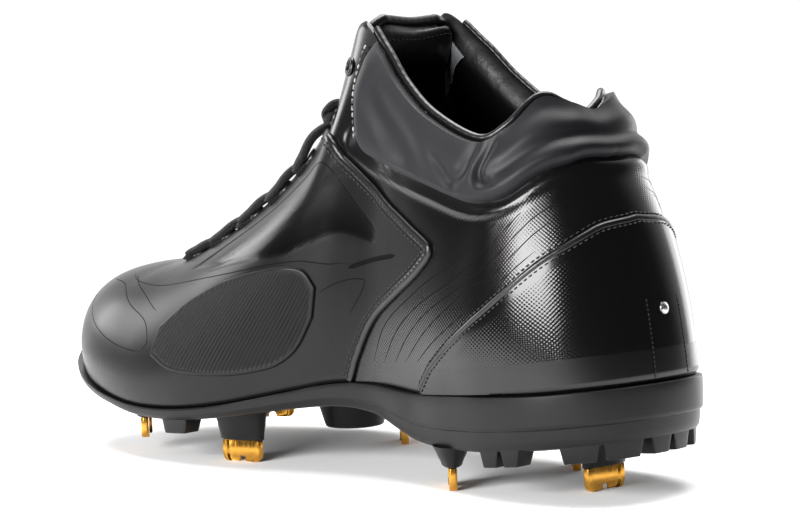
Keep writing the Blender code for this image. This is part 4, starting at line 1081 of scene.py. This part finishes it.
def all_stitches(thread, bright):
    """Double rows along the vamp and counter seams, single rows up the back strip and the pad's front."""
    rows = []
    for line in both_sides(vamp_seam_line()):
        sign = toe_sign(line)
        rows += [beside(line, sign * 2.2 * MM, 1.66 * MM), beside(line, sign * 3.9 * MM, 1.38 * MM)]
    sign = down_sign(counter_seam_line())
    rows += [beside(counter_seam_line(), sign * -1.2 * MM, 0.25 * MM),
             beside(counter_seam_line(), sign * 2.6 * MM, 1.66 * MM)]
    small = []
    for station in STRIP:
        strip = [(station, share) for share in np.linspace(0.01, STRIP_TOP, 20)]
        small.append(beside(strip, 0.5 * MM, GAP + COUNTER_THICKNESS, 80))
    stitches("seam_stitches", rows, thread)
    stitches("strip_stitches", small, thread, pitch=1.5 * MM, length=1.0 * MM, width=0.4 * MM)
    rise = np.linspace(0.02, 0.86, 30)
    front = along_table(PAD_FRONT, rise) + 0.16
    low = along_table(PAD_EDGE, front)
    line = np.stack([front, low + (1 - low) * rise], 1)
    rows = [beside(half, 0, 0.9 * MM, 120) for half in both_sides(line)]
    # the pad's stitches take the pale thread, whose pale patches are painted highlight
    stitches("pad_stitches", rows, bright, pitch=2.4 * MM, length=2.0 * MM, width=0.8 * MM)


def toe_sign(line):
    station, share, _ = line_on_form(line, 60)
    return np.sign(frame_on_form(station, share)[1][:, 1].mean())


def down_sign(line):
    station, share, _ = line_on_form(line, 61)
    return -np.sign(frame_on_form(station, share)[1][30, 2])


def hairlines(line_finish_and_shade):
    """Pressed hairlines of the quarter, the vamp and the back strip, and a wide dark strip painted on the
    vamp as the shade in its slash.
    """
    strip = np.array(((-0.21, -0.05), (-0.17, 0.035), (0.0, 0.05), (0.17, 0.035), (0.21, -0.05))) * MM
    fans = [(line, line[:3] + ends) for line, ends in zip(FAN_LINES, OUTER_FAN_ENDS)]
    rows = [("fan", 0.0, pair) for pair in fans]
    rows += [("vamp", GAP + VAMP_THICKNESS, (line, line)) for line in VAMP_LINES]
    # painted shade: the slash is a wide dark hairline strip standing for the shadow inside a slit
    rows.append(("slash", GAP + VAMP_THICKNESS, (SLASH, SLASH)))
    sewn = [(STRIP[1], share) for share in (0.01, 0.10, 0.19, STRIP_TOP)]
    rows.append(("strip", GAP + COUNTER_THICKNESS, (sewn, [(-STRIP[0], share) for _, share in sewn])))
    for number, (word, height, pair) in enumerate(rows):
        for way, side, line in zip((1, -1), ("medial", "lateral"), pair):
            station, share, _ = line_on_form([(way * at, level) for at, level in line], 120)
            path, across, out = frame_on_form(station, share)
            taper = np.minimum(1, np.minimum(np.arange(120), np.arange(119, -1, -1)) / 12 + 0.2)
            taper = taper * (SLASH_WIDTH if word == "slash" else 1.0)
            points = (path[:, None] + out[:, None] * height + across[:, None] * strip[None, :, :1]
                      * taper[:, None, None] + out[:, None] * strip[None, :, 1:])
            piece = lattice(f"{word}_line_{number}_{side}", points)
            finished(piece, "matte_leather" if word in ("vamp", "slash") else "gloss_leather", line_finish_and_shade)


def opening_frame(stations):
    """Points on the opening's edge with the directions out of the wall and up off the edge."""
    edge = np.ones(len(stations))
    point, out = on_form(stations, edge), outward(stations, edge)
    along = np.gradient(point, axis=0)
    up = np.cross(along, out)
    up *= np.sign(up[:, 2:])
    return point, out, unit(up)


def piping(leather):
    """Wrapped cord on the collar's edge, from one cuff corner round the heel to the other."""
    stations = np.linspace(-PIPING_END, PIPING_END, 361)
    point, out, up = opening_frame(stations)
    middle = point - out * UPPER_WALL * 0.45 + up * (PIPING_DIAMETER / 2 + GAP)
    piece = sweep("collar_piping", middle, out, up, circle(PIPING_DIAMETER))
    finished(piece, "gloss_leather", leather, replaces=["collar_piping"])


def tongue(leather, cord):
    """Padded tongue with a piped edge, its rear face full and its top rounded and leaning back."""
    count = 110
    rows = np.linspace(*TONGUE_SPAN, count)
    clear = UPPER_WALL + 1.0 * MM
    near, far = on_form(rows, 0.90, -clear), on_form(-rows, 0.90, -clear)
    tucked = clear + 1.0 * MM
    edge_near, edge_far = on_form(rows, 0.985, -tucked), on_form(-rows, 0.985, -tucked)
    middle = (edge_near + edge_far) / 2
    ribs = np.stack([near, edge_near, middle, edge_far, far], 1)
    away = np.clip(lengths_along(middle) / 0.020, 0, 1)
    spread = 0.40 + 0.60 * np.sqrt(1 - (1 - away) ** 2)
    across = np.linspace(-2, 2, 41)
    slim = 1 - 0.15 * (1 - soft_step((lengths_along(middle) - 0.030) / 0.030))
    outer = np.array([smooth_through(row, 2 + across * wide * np.where(across > 0, far_share, 1))
                      for row, wide, far_share in zip(ribs, spread, slim)])
    top = 1 - away
    outer += top[:, None, None] ** 1.5 * np.array((0, -0.0015, TONGUE_RISE))
    outer[..., 2] -= TONGUE_TILT * (across + 2)[None] / 4 * top[:, None] ** 1.2
    normal = unit(np.cross(np.gradient(outer, axis=1), np.gradient(outer, axis=0)))
    edge = 1 - abs(across) / 2
    end = np.linspace(0, 1, count)
    full = rounded(edge, 0.45)[None] * rounded(end, 0.05)[:, None] * rounded(1 - end, 0.05)[:, None]
    body = TONGUE_THICKNESS * (1 + 0.35 * soft_step(1 - abs(lengths_along(middle) - 0.014) / 0.016))
    inner = outer - normal * (body[:, None] * (0.15 + 0.95 * full))[..., None]
    piece = lattice("tongue", np.concatenate([outer, inner[:, ::-1]], 1))
    finished(piece, "collar_leather", leather, replaces=["tongue"])
    seam = (outer + inner) / 2
    rim = np.concatenate([seam[:60, 0][::-1], seam[0, 1:-1], seam[:60, -1]])
    rim = curve_through(rim[::3], 260)
    run = unit(np.gradient(rim, axis=0))
    hint = unit(np.cross(run, (0.0, 0.0, 1.0) + 0.2 * normal[0, 20]))
    place = np.linspace(-1, 1, 260)
    thick = (1 + 0.55 * soft_step((0.62 - abs(place)) / 0.3))[:, None, None]
    ring = circle(2.4 * MM)[None] * thick
    piece = lattice("tongue_piping", rim[:, None] + hint[:, None] * ring[..., :1]
                    + np.cross(hint, run)[:, None] * ring[..., 1:])
    finished(piece, "gloss_leather", cord)
    return [(inner[6, 3:-3] + normal[6, 3:-3] * -0.1 * MM, -normal[6, 3:-3]),
            (inner[6:60, -5] + normal[6:60, -5] * -0.1 * MM, -normal[6:60, -5])]


def eyelet_stations():
    fine = np.linspace(TOE_STATION * 0.508, TOE_STATION * 0.9, 400)
    length = lengths_along(form(fine, np.full(len(fine), EYELET_SHARE)))
    return np.interp(np.arange(EYELET_COUNT) * EYELET_PITCH, length, fine)


def layer_top(station):
    """Height of the outermost layer beside the throat."""
    on_vamp = abs(station) > along_table(VAMP_EDGE, EYELET_SHARE) - 0.1
    return GAP + VAMP_THICKNESS if on_vamp else 0.0


def turned_round(profile, count):
    """Points of a (radius, height) profile turned once round the vertical."""
    turn = np.linspace(0, 2 * math.pi, count)[:, None]
    radius, height = profile[None, :, 0], profile[None, :, 1]
    return np.stack([radius * np.cos(turn), radius * np.sin(turn),
                     np.broadcast_to(height, (count, len(profile)))], -1)


def eyelets(leather):
    """Pressed rims, each with its barrel through the wall."""
    profile = np.array(((2.15, -2.6), (2.15, 0.35), (2.45, 0.75), (2.95, 0.80), (3.45, 0.50), (3.60, 0.0),
                        (3.3, -0.15), (2.5, -0.15), (2.45, -2.6))) * MM
    ring = turned_round(profile, 41)
    for number, place in enumerate(eyelet_stations()):
        for way, word in ((1, "medial"), (-1, "lateral")):
            station = way * place
            out = outward(station, EYELET_SHARE)
            quat = Vector(out).to_track_quat("Z", "Y").to_matrix()
            spot = on_form(station, EYELET_SHARE, layer_top(station))
            points = ring @ np.array(quat).T + spot
            name = f"eyelet_{word}_{number + 1}"
            finished(lattice("ring_" + name, points), "gloss_leather", leather, replaces=[name])


def laces(braid):
    """Crossed lacing: out of an eyelet, over the edge, across the tongue and under the other flap."""
    places = eyelet_stations()[1:]
    runs = [(places[-1], places[-1], 1)]
    for high, low in zip(places, places[1:]):
        runs += [(low, high, 1), (low, high, -1)]
    section = circle(LACE_WIDTH, LACE_HEIGHT, 14)
    rise = LACE_HEIGHT / 2 + VAMP_THICKNESS + 0.5 * MM
    under = -(UPPER_WALL + 1.6 * MM)
    for number, (start, end, way) in enumerate(runs):
        climb = end - start
        loose = 0.6 * MM if end == places[0] else 0.0
        knots = [on_form(way * start, EYELET_SHARE, -4.0 * MM),
                 on_form(way * (start + 0.10), 0.925, 0.2 * MM),
                 on_form(way * (start + 0.24), 0.905, rise * 0.80),
                 on_form(way * (start + 0.10), 0.935, rise + loose),
                 on_form(way * (start + 0.32 * climb), 0.975, rise * 0.86 + loose)]
        over = on_form(way * (start + 0.60 * climb), 1.0, 0.0)
        there = on_form(-way * (start + 0.80 * climb), 1.0, 0.0)
        knots.append(over * 0.64 + there * 0.36 + np.array((0, -0.0004, 0.0010 * (way > 0) - 0.0006)))
        knots.append(over * 0.30 + there * 0.70 + np.array((0, -0.0004, 0.0010 * (way > 0) - 0.0006)))
        knots += [on_form(-way * (start + 0.88 * climb), 0.985, under),
                  on_form(-way * end, 0.95, under), on_form(-way * end, EYELET_SHARE, under)]
        if start == end:
            knots[-3:] = [on_form(-way * start, 0.985, rise), on_form(-way * start, 0.945, rise * 0.95),
                          on_form(-way * start, EYELET_SHARE, -3.0 * MM)]
        outs = np.array([outward(way * start, 0.95), outward(way * start, 0.97), (0.0, 0.45, 0.89),
                         outward(-way * end, 0.97), outward(-way * end, 0.95)])
        strand(f"lace_run_{number}", knots, outs, section, number, braid, ("laces",) if number == 0 else ())
    for way, word in ((1, "medial"), (-1, "lateral")):
        at = places[0]
        knots = [on_form(way * at, EYELET_SHARE, -4.0 * MM), on_form(way * at, EYELET_SHARE, 0.4 * MM),
                 on_form(way * (at + 0.04), 0.935, rise), on_form(way * (at + 0.02), 0.955, rise * 0.9),
                 on_form(way * at, 0.975, rise * 0.35),
                 on_form(way * (at - 0.02), 0.978, -1.6 * MM),
                 on_form(way * (at - 0.06), 0.955, under - 0.8 * MM),
                 on_form(way * (at - 0.1), EYELET_SHARE, under)]
        outs = np.array([outward(way * at, 0.95), outward(way * at, 0.97), outward(way * at, 1.0),
                         (way * 0.8, 0.2, 0.5)])
        strand(f"lace_end_{word}", knots, outs, section, 40, braid)


def strand(name, knots, outs, section, phase, braid, stands_for=()):
    """A length of lace through its knots, flat side facing the given directions."""
    count = 110
    path = curve_through(np.array(knots), count)
    run = unit(np.gradient(path, axis=0))
    out = smooth_through(outs, np.linspace(0, len(outs) - 1, count))
    aside = unit(np.cross(out, run))
    above = np.cross(run, aside)
    along = np.linspace(0, 1, count)
    waist = 0.50 + 0.50 * soft_step(np.minimum(along, 1 - along) / 0.24)
    waist *= 1 + 0.05 * np.sin(23 * along + phase)
    points = (path[:, None] + aside[:, None] * section[None, :, :1] * waist[:, None, None]
              + above[:, None] * section[None, :, 1:])
    piece = lattice(name, points)
    finished(piece, "lace_cloth", braid, replaces=stands_for)


def insole(cloth):
    """Foam insole with soft edges."""
    stations = np.linspace(0, TOE_STATION, 100)
    inset = -(UPPER_WALL + 0.9 * MM)
    near, far = outline(stations, inset), outline(-stations, inset)
    part = np.linspace(0, 1, 25)
    plan = near[:, None] * (1 - part)[None, :, None] + far[:, None] * part[None, :, None]
    edge = rounded(np.minimum(part, 1 - part), 0.05)[None]
    low = deck_height(plan[..., 1]) + GAP
    high = low + INSOLE_THICKNESS * (0.3 + 0.7 * edge)
    outer = np.concatenate([plan, high[..., None]], -1) + SHIFT
    inner = np.concatenate([plan, low[..., None]], -1) + SHIFT
    piece = lattice("insole", np.concatenate([outer, inner[:, ::-1]], 1))
    finished(piece, "foam_cloth", cloth, replaces=["insole"])


def under_sole(y):
    return deck_height(y) - wall_height(y)


def stand_at(row):
    spot = Matrix.Translation((row["across"] * row["of"] / 2, row["along"] * SOLE_LENGTH, 0))
    return spot @ Matrix.Rotation(math.radians(row["turn"]), 4, "Z")


def outsole(plastic):
    """Moulded sole: rounded rim, stepped heel wall, underside with lugs, boss and flared mounts."""
    stations = np.linspace(0, STATIONS, STATIONS * 8 + 1)
    along = form(stations, 0)[:, 1] / SOLE_LENGTH
    rim = RIM_WIDTH + (TOE_BUMPER - RIM_WIDTH) * np.interp(along, (0.80, 1.0), (0, 1))
    heel = 1 - soft_step((along - 0.34) / 0.05)
    # share of the rim's width, metres inward, share of the wall, and how much the heel's step counts
    edges = ((0.10, 0, 0.0, 0), (0.82, 0, 0.0, 0), (0.97, 0, 0.015, 0), (1.0, 0, 0.06, 0),
             (1.0, 0, 0.20, 0), (0.97, 0, 0.36, 0), (0.93, 0, 0.52, 0), (0.90, 0, 0.585, 0),
             (0.80, 0, 0.605, 1), (0.58, 0, 0.625, 1), (0.54, 0, 0.68, 1), (0.46, 0, 0.80, 1),
             (0.34, 0, 0.90, 1), (0.18, 0.0004, 0.965, 1), (0.0, 0.0022, 1.0, 1))
    rings = []
    for share, inset, drop, step in edges:
        plain = 0.90 - 0.90 * max(0, drop - 0.585) / 0.415 if step else share
        width = share * heel + plain * (1 - heel)
        plan = outline(stations, rim * width - inset)
        level = deck_height(form(stations, 0)[:, 1]) - wall_height(plan[:, 1]) * drop
        rings.append(np.concatenate([plan, level[:, None]], 1))
    wall = np.array(rings).transpose(1, 0, 2)
    half = STATIONS * 4
    part = np.linspace(0, 1, 13)[None, :, None]
    caps = []
    for row, height in ((0, deck_height), (-1, under_sole)):
        near, far = wall[:half + 1, row], wall[::-1][:half + 1, row]
        plan = near[:, None] * (1 - part) + far[:, None] * part
        level = height(plan[:, 1:-1, 1])
        plan[:, 1:-1, 2] = level
        caps.append(plan)
    body = join([lattice("outsole", wall + SHIFT, wrap=False, sealed=False),
                 lattice("deck", caps[0] + SHIFT, wrap=False, sealed=False),
                 lattice("underside", caps[1] + SHIFT, wrap=False, sealed=False)])
    studs = [lug(index, first, last) for index, (first, last) in enumerate(LUGS)]
    studs += [stud(dict(zip(BLADE, row)), MOUNT_PROFILE, BLADE_WIDTH / 2, BLADE_HEIGHT) for row in BLADES]
    studs.append(stud(dict(zip(BLADE, BOSS)), BOSS_PROFILE, BOSS_DIAMETER / 2, 0.0))
    for tool in studs:
        worked(body, tool, "UNION")
    body.data.shade_smooth()
    body.data.set_sharp_from_angle(angle=math.radians(38))
    finished(body, "sole_plastic", plastic, replaces=["outsole"])


def join(pieces):
    """One object from several whose borders coincide."""
    bpy.ops.object.select_all(action="DESELECT")
    for piece in pieces:
        piece.select_set(True)
    bpy.context.view_layer.objects.active = pieces[0]
    bpy.ops.object.join()
    close(pieces[0].data, merge=2e-6)
    return pieces[0]


def lug(index, first, last):
    """A bevelled lug along the sole's edge."""
    taper = LUG_TAPER / np.linalg.norm(form(last, 0) - form(first, 0)) * (last - first)
    loops = []
    for share in np.linspace(-1, 1, 7):
        ring = []
        for depth, foot in ((0.0, True), (0.0, False), (LUG_WIDTH, False), (LUG_WIDTH, True)):
            edge = depth + (LUG_TAPER * (0.3 if depth == 0 else -1.0) if foot else 0)
            station = (first + last) / 2 + share * ((last - first) / 2 - (taper if foot else 0))
            x, y = outline(station, -edge)
            ring.append((x, y, under_sole(y) + (-LUG_HEIGHT if foot else 1.0 * MM)))
        loops.append(ring)
    piece = lattice(f"lug_{index}", np.array(loops) + SHIFT)
    soften(piece, 0.35 * MM)
    return piece


def soften(piece, width, angle=35):
    """Round a piece's sharp edges."""
    bevel = piece.modifiers.new("edges", "BEVEL")
    bevel.width = width
    bevel.segments = 2
    bevel.limit_method = "ANGLE"
    bevel.angle_limit = math.radians(angle)
    bpy.context.view_layer.objects.active = piece
    bpy.ops.object.modifier_apply(modifier="edges")


def stud(row, profile, radius, clearance):
    """An oval body from its foot up into the sole's underside."""
    at = stand_at(row)
    foot = row["foot"] + clearance
    turn = 2 * math.pi * np.arange(33) / 32
    loops = []
    for angle in turn:
        column = []
        for share, half_length, half_width in profile:
            aside, ahead = half_width * math.sin(angle), half_length * math.cos(angle)
            spot = at @ Vector((aside * radius, ahead * radius, 0))
            top = float(under_sole(spot.y)) + 1.0 * MM
            column.append((spot.x, spot.y, foot + (top - foot) * share))
        loops.append(column)
    return lattice("stud_" + row["name"], np.array(loops) + SHIFT, wrap=False)


def blades(plate):
    """Plated blades: thick fluted ends, a sunk middle, rounded corners and a notch in the foot."""
    half, thick = BLADE_WIDTH / 2, BLADE_THICKNESS / 2
    end = [(half, -thick * 0.5), (half - 0.5 * MM, -thick), (half - 2.3 * MM, -thick),
           (half - 2.9 * MM, -thick * 0.35)]
    face = [(-x, y) for x, y in end] + end[::-1]
    section = np.array(face + [(x, -y) for x, y in face[::-1]])
    curved = BLADE_CORNER * (1 - np.cos(np.linspace(0, math.pi / 2, 7)[1:]))
    levels = np.concatenate([[0], curved, [BLADE_HEIGHT]])
    for row in (dict(zip(BLADE, row)) for row in BLADES):
        loops = []
        for level in levels:
            flat = max(0, 1 - (1 - min(level / BLADE_CORNER, 1)) ** 2)
            inset = BLADE_CORNER * (1 - math.sqrt(flat)) * 0.75
            narrow = section * ((half - inset) / half, 1.0)
            loops.append([(y, x, level) for x, y in narrow])
        piece = lattice("plated_" + row["name"], np.array(loops))
        bpy.ops.object.select_all(action="DESELECT")
        bpy.ops.mesh.primitive_cylinder_add(vertices=28, radius=BLADE_NOTCH / 2, depth=0.01,
                                            location=(0, 0, BLADE_NOTCH * 0.22),
                                            rotation=(0, math.pi / 2, 0))
        worked(piece, bpy.context.object, "DIFFERENCE")
        soften(piece, 0.22 * MM, 30)
        piece.data.transform(Matrix.Translation(Vector(SHIFT)) @ stand_at(row)
                             @ Matrix.Translation((0, 0, row["foot"] - GAP)))
        piece.data.shade_smooth()
        piece.data.set_sharp_from_angle(angle=math.radians(30))
        finished(piece, "blade_metal", plate, replaces=["blade_" + row["name"]])


def rivet(steel):
    """Domed rivet at the back of the heel, in a shallow washer."""
    profile = np.array(((0.0, 1.15), (0.8, 1.08), (1.5, 0.80), (1.75, 0.45), (2.0, 0.40), (2.1, 0.15),
                        (2.05, -0.1), (0.0, -0.1))) * MM
    station, share = RIVET
    turned = np.array(Vector(outward(station, share)).to_track_quat("Z", "Y").to_matrix())
    spot = on_form(station, share, GAP + COUNTER_THICKNESS)
    piece = lattice("rivet", turned_round(profile, 33) @ turned.T + spot, wrap=False)
    finished(piece, "steel", steel, replaces=["heel_rivet"])


def label(cloth):
    """Plain tape label sewn aslant inside the outer cuff, curling slightly off the lining."""
    corner, along, down = np.array((-8.25, 0.975)), np.array((0.95, -0.030)), np.array((-0.65, -0.120))
    across, drop = np.linspace(0, 1, 22)[:, None, None], np.linspace(0, 1, 16)[None, :, None]
    stations, shares = np.moveaxis(corner + across * along + drop * down, -1, 0)
    curl = 0.5 * MM * (1 - (np.linspace(-1, 1, 22) ** 2))[:, None]
    depth = -(UPPER_WALL + lining_swell(stations, shares) + 0.3 * MM + curl)
    piece = panel("label", stations, shares, depth, depth - 0.4 * MM)
    finished(piece, "label_cloth", cloth, replaces=["size_label"])


def stage():
    """Round table top of matte white laminate, lit as evenly as paper."""
    material, tree, shader = finish("laminate_matte_white", "#f7f7f7", 0.9, Specular_IOR_Level=0.1)
    fine = noise(tree, 0.5, 2.0)
    relief(tree, shader, fine, 0.02)
    bpy.ops.object.select_all(action="DESELECT")
    bpy.ops.mesh.primitive_circle_add(vertices=128, radius=TABLE_RADIUS, fill_type="NGON")
    floor = bpy.context.object
    floor.name = "studio_floor"
    floor.data.materials.append(material)


def softbox(name, place, aim, width, height, watts):
    """A rectangular softbox."""
    light = bpy.data.lights.new(name, "AREA")
    light.shape = "RECTANGLE"
    light.size, light.size_y = width, height
    light.energy = watts
    lamp = placed(name, light)
    lamp.location = place
    lamp.rotation_euler = (Vector(aim) - Vector(place)).to_track_quat("-Z", "Y").to_euler()


def studio():
    """White room with softboxes on the inner side, the outer side and past the toe, and a soft sky."""
    world = bpy.data.worlds.new("studio")
    bpy.context.scene.world = world
    world.use_nodes = True
    tree = world.node_tree
    walls = tree.nodes["Background"]
    walls.inputs["Color"].default_value = linear("#ffffff")
    towards = add(tree, "TexCoord", output="Generated")
    ahead = add(tree, "VectorMath", (towards, BRIGHT_WALL), "Value", operation="DOT_PRODUCT")
    strength = ramp(tree, ahead, 0.15, 0.75, 0.09, 1.3)
    tree.links.new(strength, walls.inputs["Strength"])
    paper = add(tree, "Background", {"Color": linear("#ffffff"), "Strength": 1.1})
    seen = add(tree, "LightPath", output="Is Camera Ray")
    blend = add(tree, "MixShader", (seen, walls.outputs[0], paper))
    tree.links.new(blend, tree.nodes["World Output"].inputs["Surface"])
    softbox("inner_box", (-0.72, -0.10, 0.27), (-0.03, -0.08, 0.07), 0.52, 0.30, 10.5)
    softbox("outer_box", (0.80, -0.02, 0.12), (0.02, -0.10, 0.07), 0.40, 0.50, 2.0)
    softbox("toe_box", (-0.23, 0.93, 0.32), (-0.03, 0.02, 0.10), 0.36, 0.30, 2.2)
    sky = bpy.data.lights.new("sky_box", "SUN")
    sky.energy = 5.2
    sky.angle = math.radians(50)
    lamp = placed("sky_box", sky)
    lamp.rotation_euler = (math.radians(-14), math.radians(12), 0)
    bpy.context.scene.view_settings.view_transform = "Standard"


def camera():
    """The photograph's view: from behind on the inner side, slightly above, rolled a little."""
    yaw, pitch, roll = (math.radians(value) for value in (YAW, PITCH, ROLL))
    ahead = Vector((math.sin(yaw) * math.cos(pitch), math.cos(yaw) * math.cos(pitch), -math.sin(pitch)))
    right = Vector((math.cos(yaw), -math.sin(yaw), 0))
    up = right.cross(ahead)
    rolled_right = math.cos(roll) * right + math.sin(roll) * up
    rolled_up = math.cos(roll) * up - math.sin(roll) * right
    lens = bpy.data.cameras.new("photo_camera")
    lens.sensor_width = SENSOR_WIDTH
    lens.lens = FOCAL_PIXELS / IMAGE_WIDTH * SENSOR_WIDTH
    lens.clip_start, lens.clip_end = 0.05, 60
    eye = placed("photo_camera", lens)
    turn = Matrix((rolled_right, rolled_up, -ahead)).transposed()
    eye.matrix_world = Matrix.Translation(Vector(CAMERA_TARGET) - ahead * CAMERA_DISTANCE) @ turn.to_4x4()
    bpy.context.scene.camera = eye


def build():
    camera()
    studio()
    stage()
    outsole(sole_plastic())
    blades(gold_plate())
    insole(insole_cloth())
    quarter()
    vamp()
    counter()
    collar_pad()
    side_guards()
    seam_bands(seam_leather())
    cord = piping_leather()
    piping(cord)
    thread = stitch_thread()
    stitches("tongue_stitches", tongue(tongue_leather(), cord), thread)
    eyelets(cord)
    laces(lace_braid())
    all_stitches(thread, bright_thread())
    hairlines(engraved_line())
    rivet(rivet_steel())
    label(label_cloth())


build()
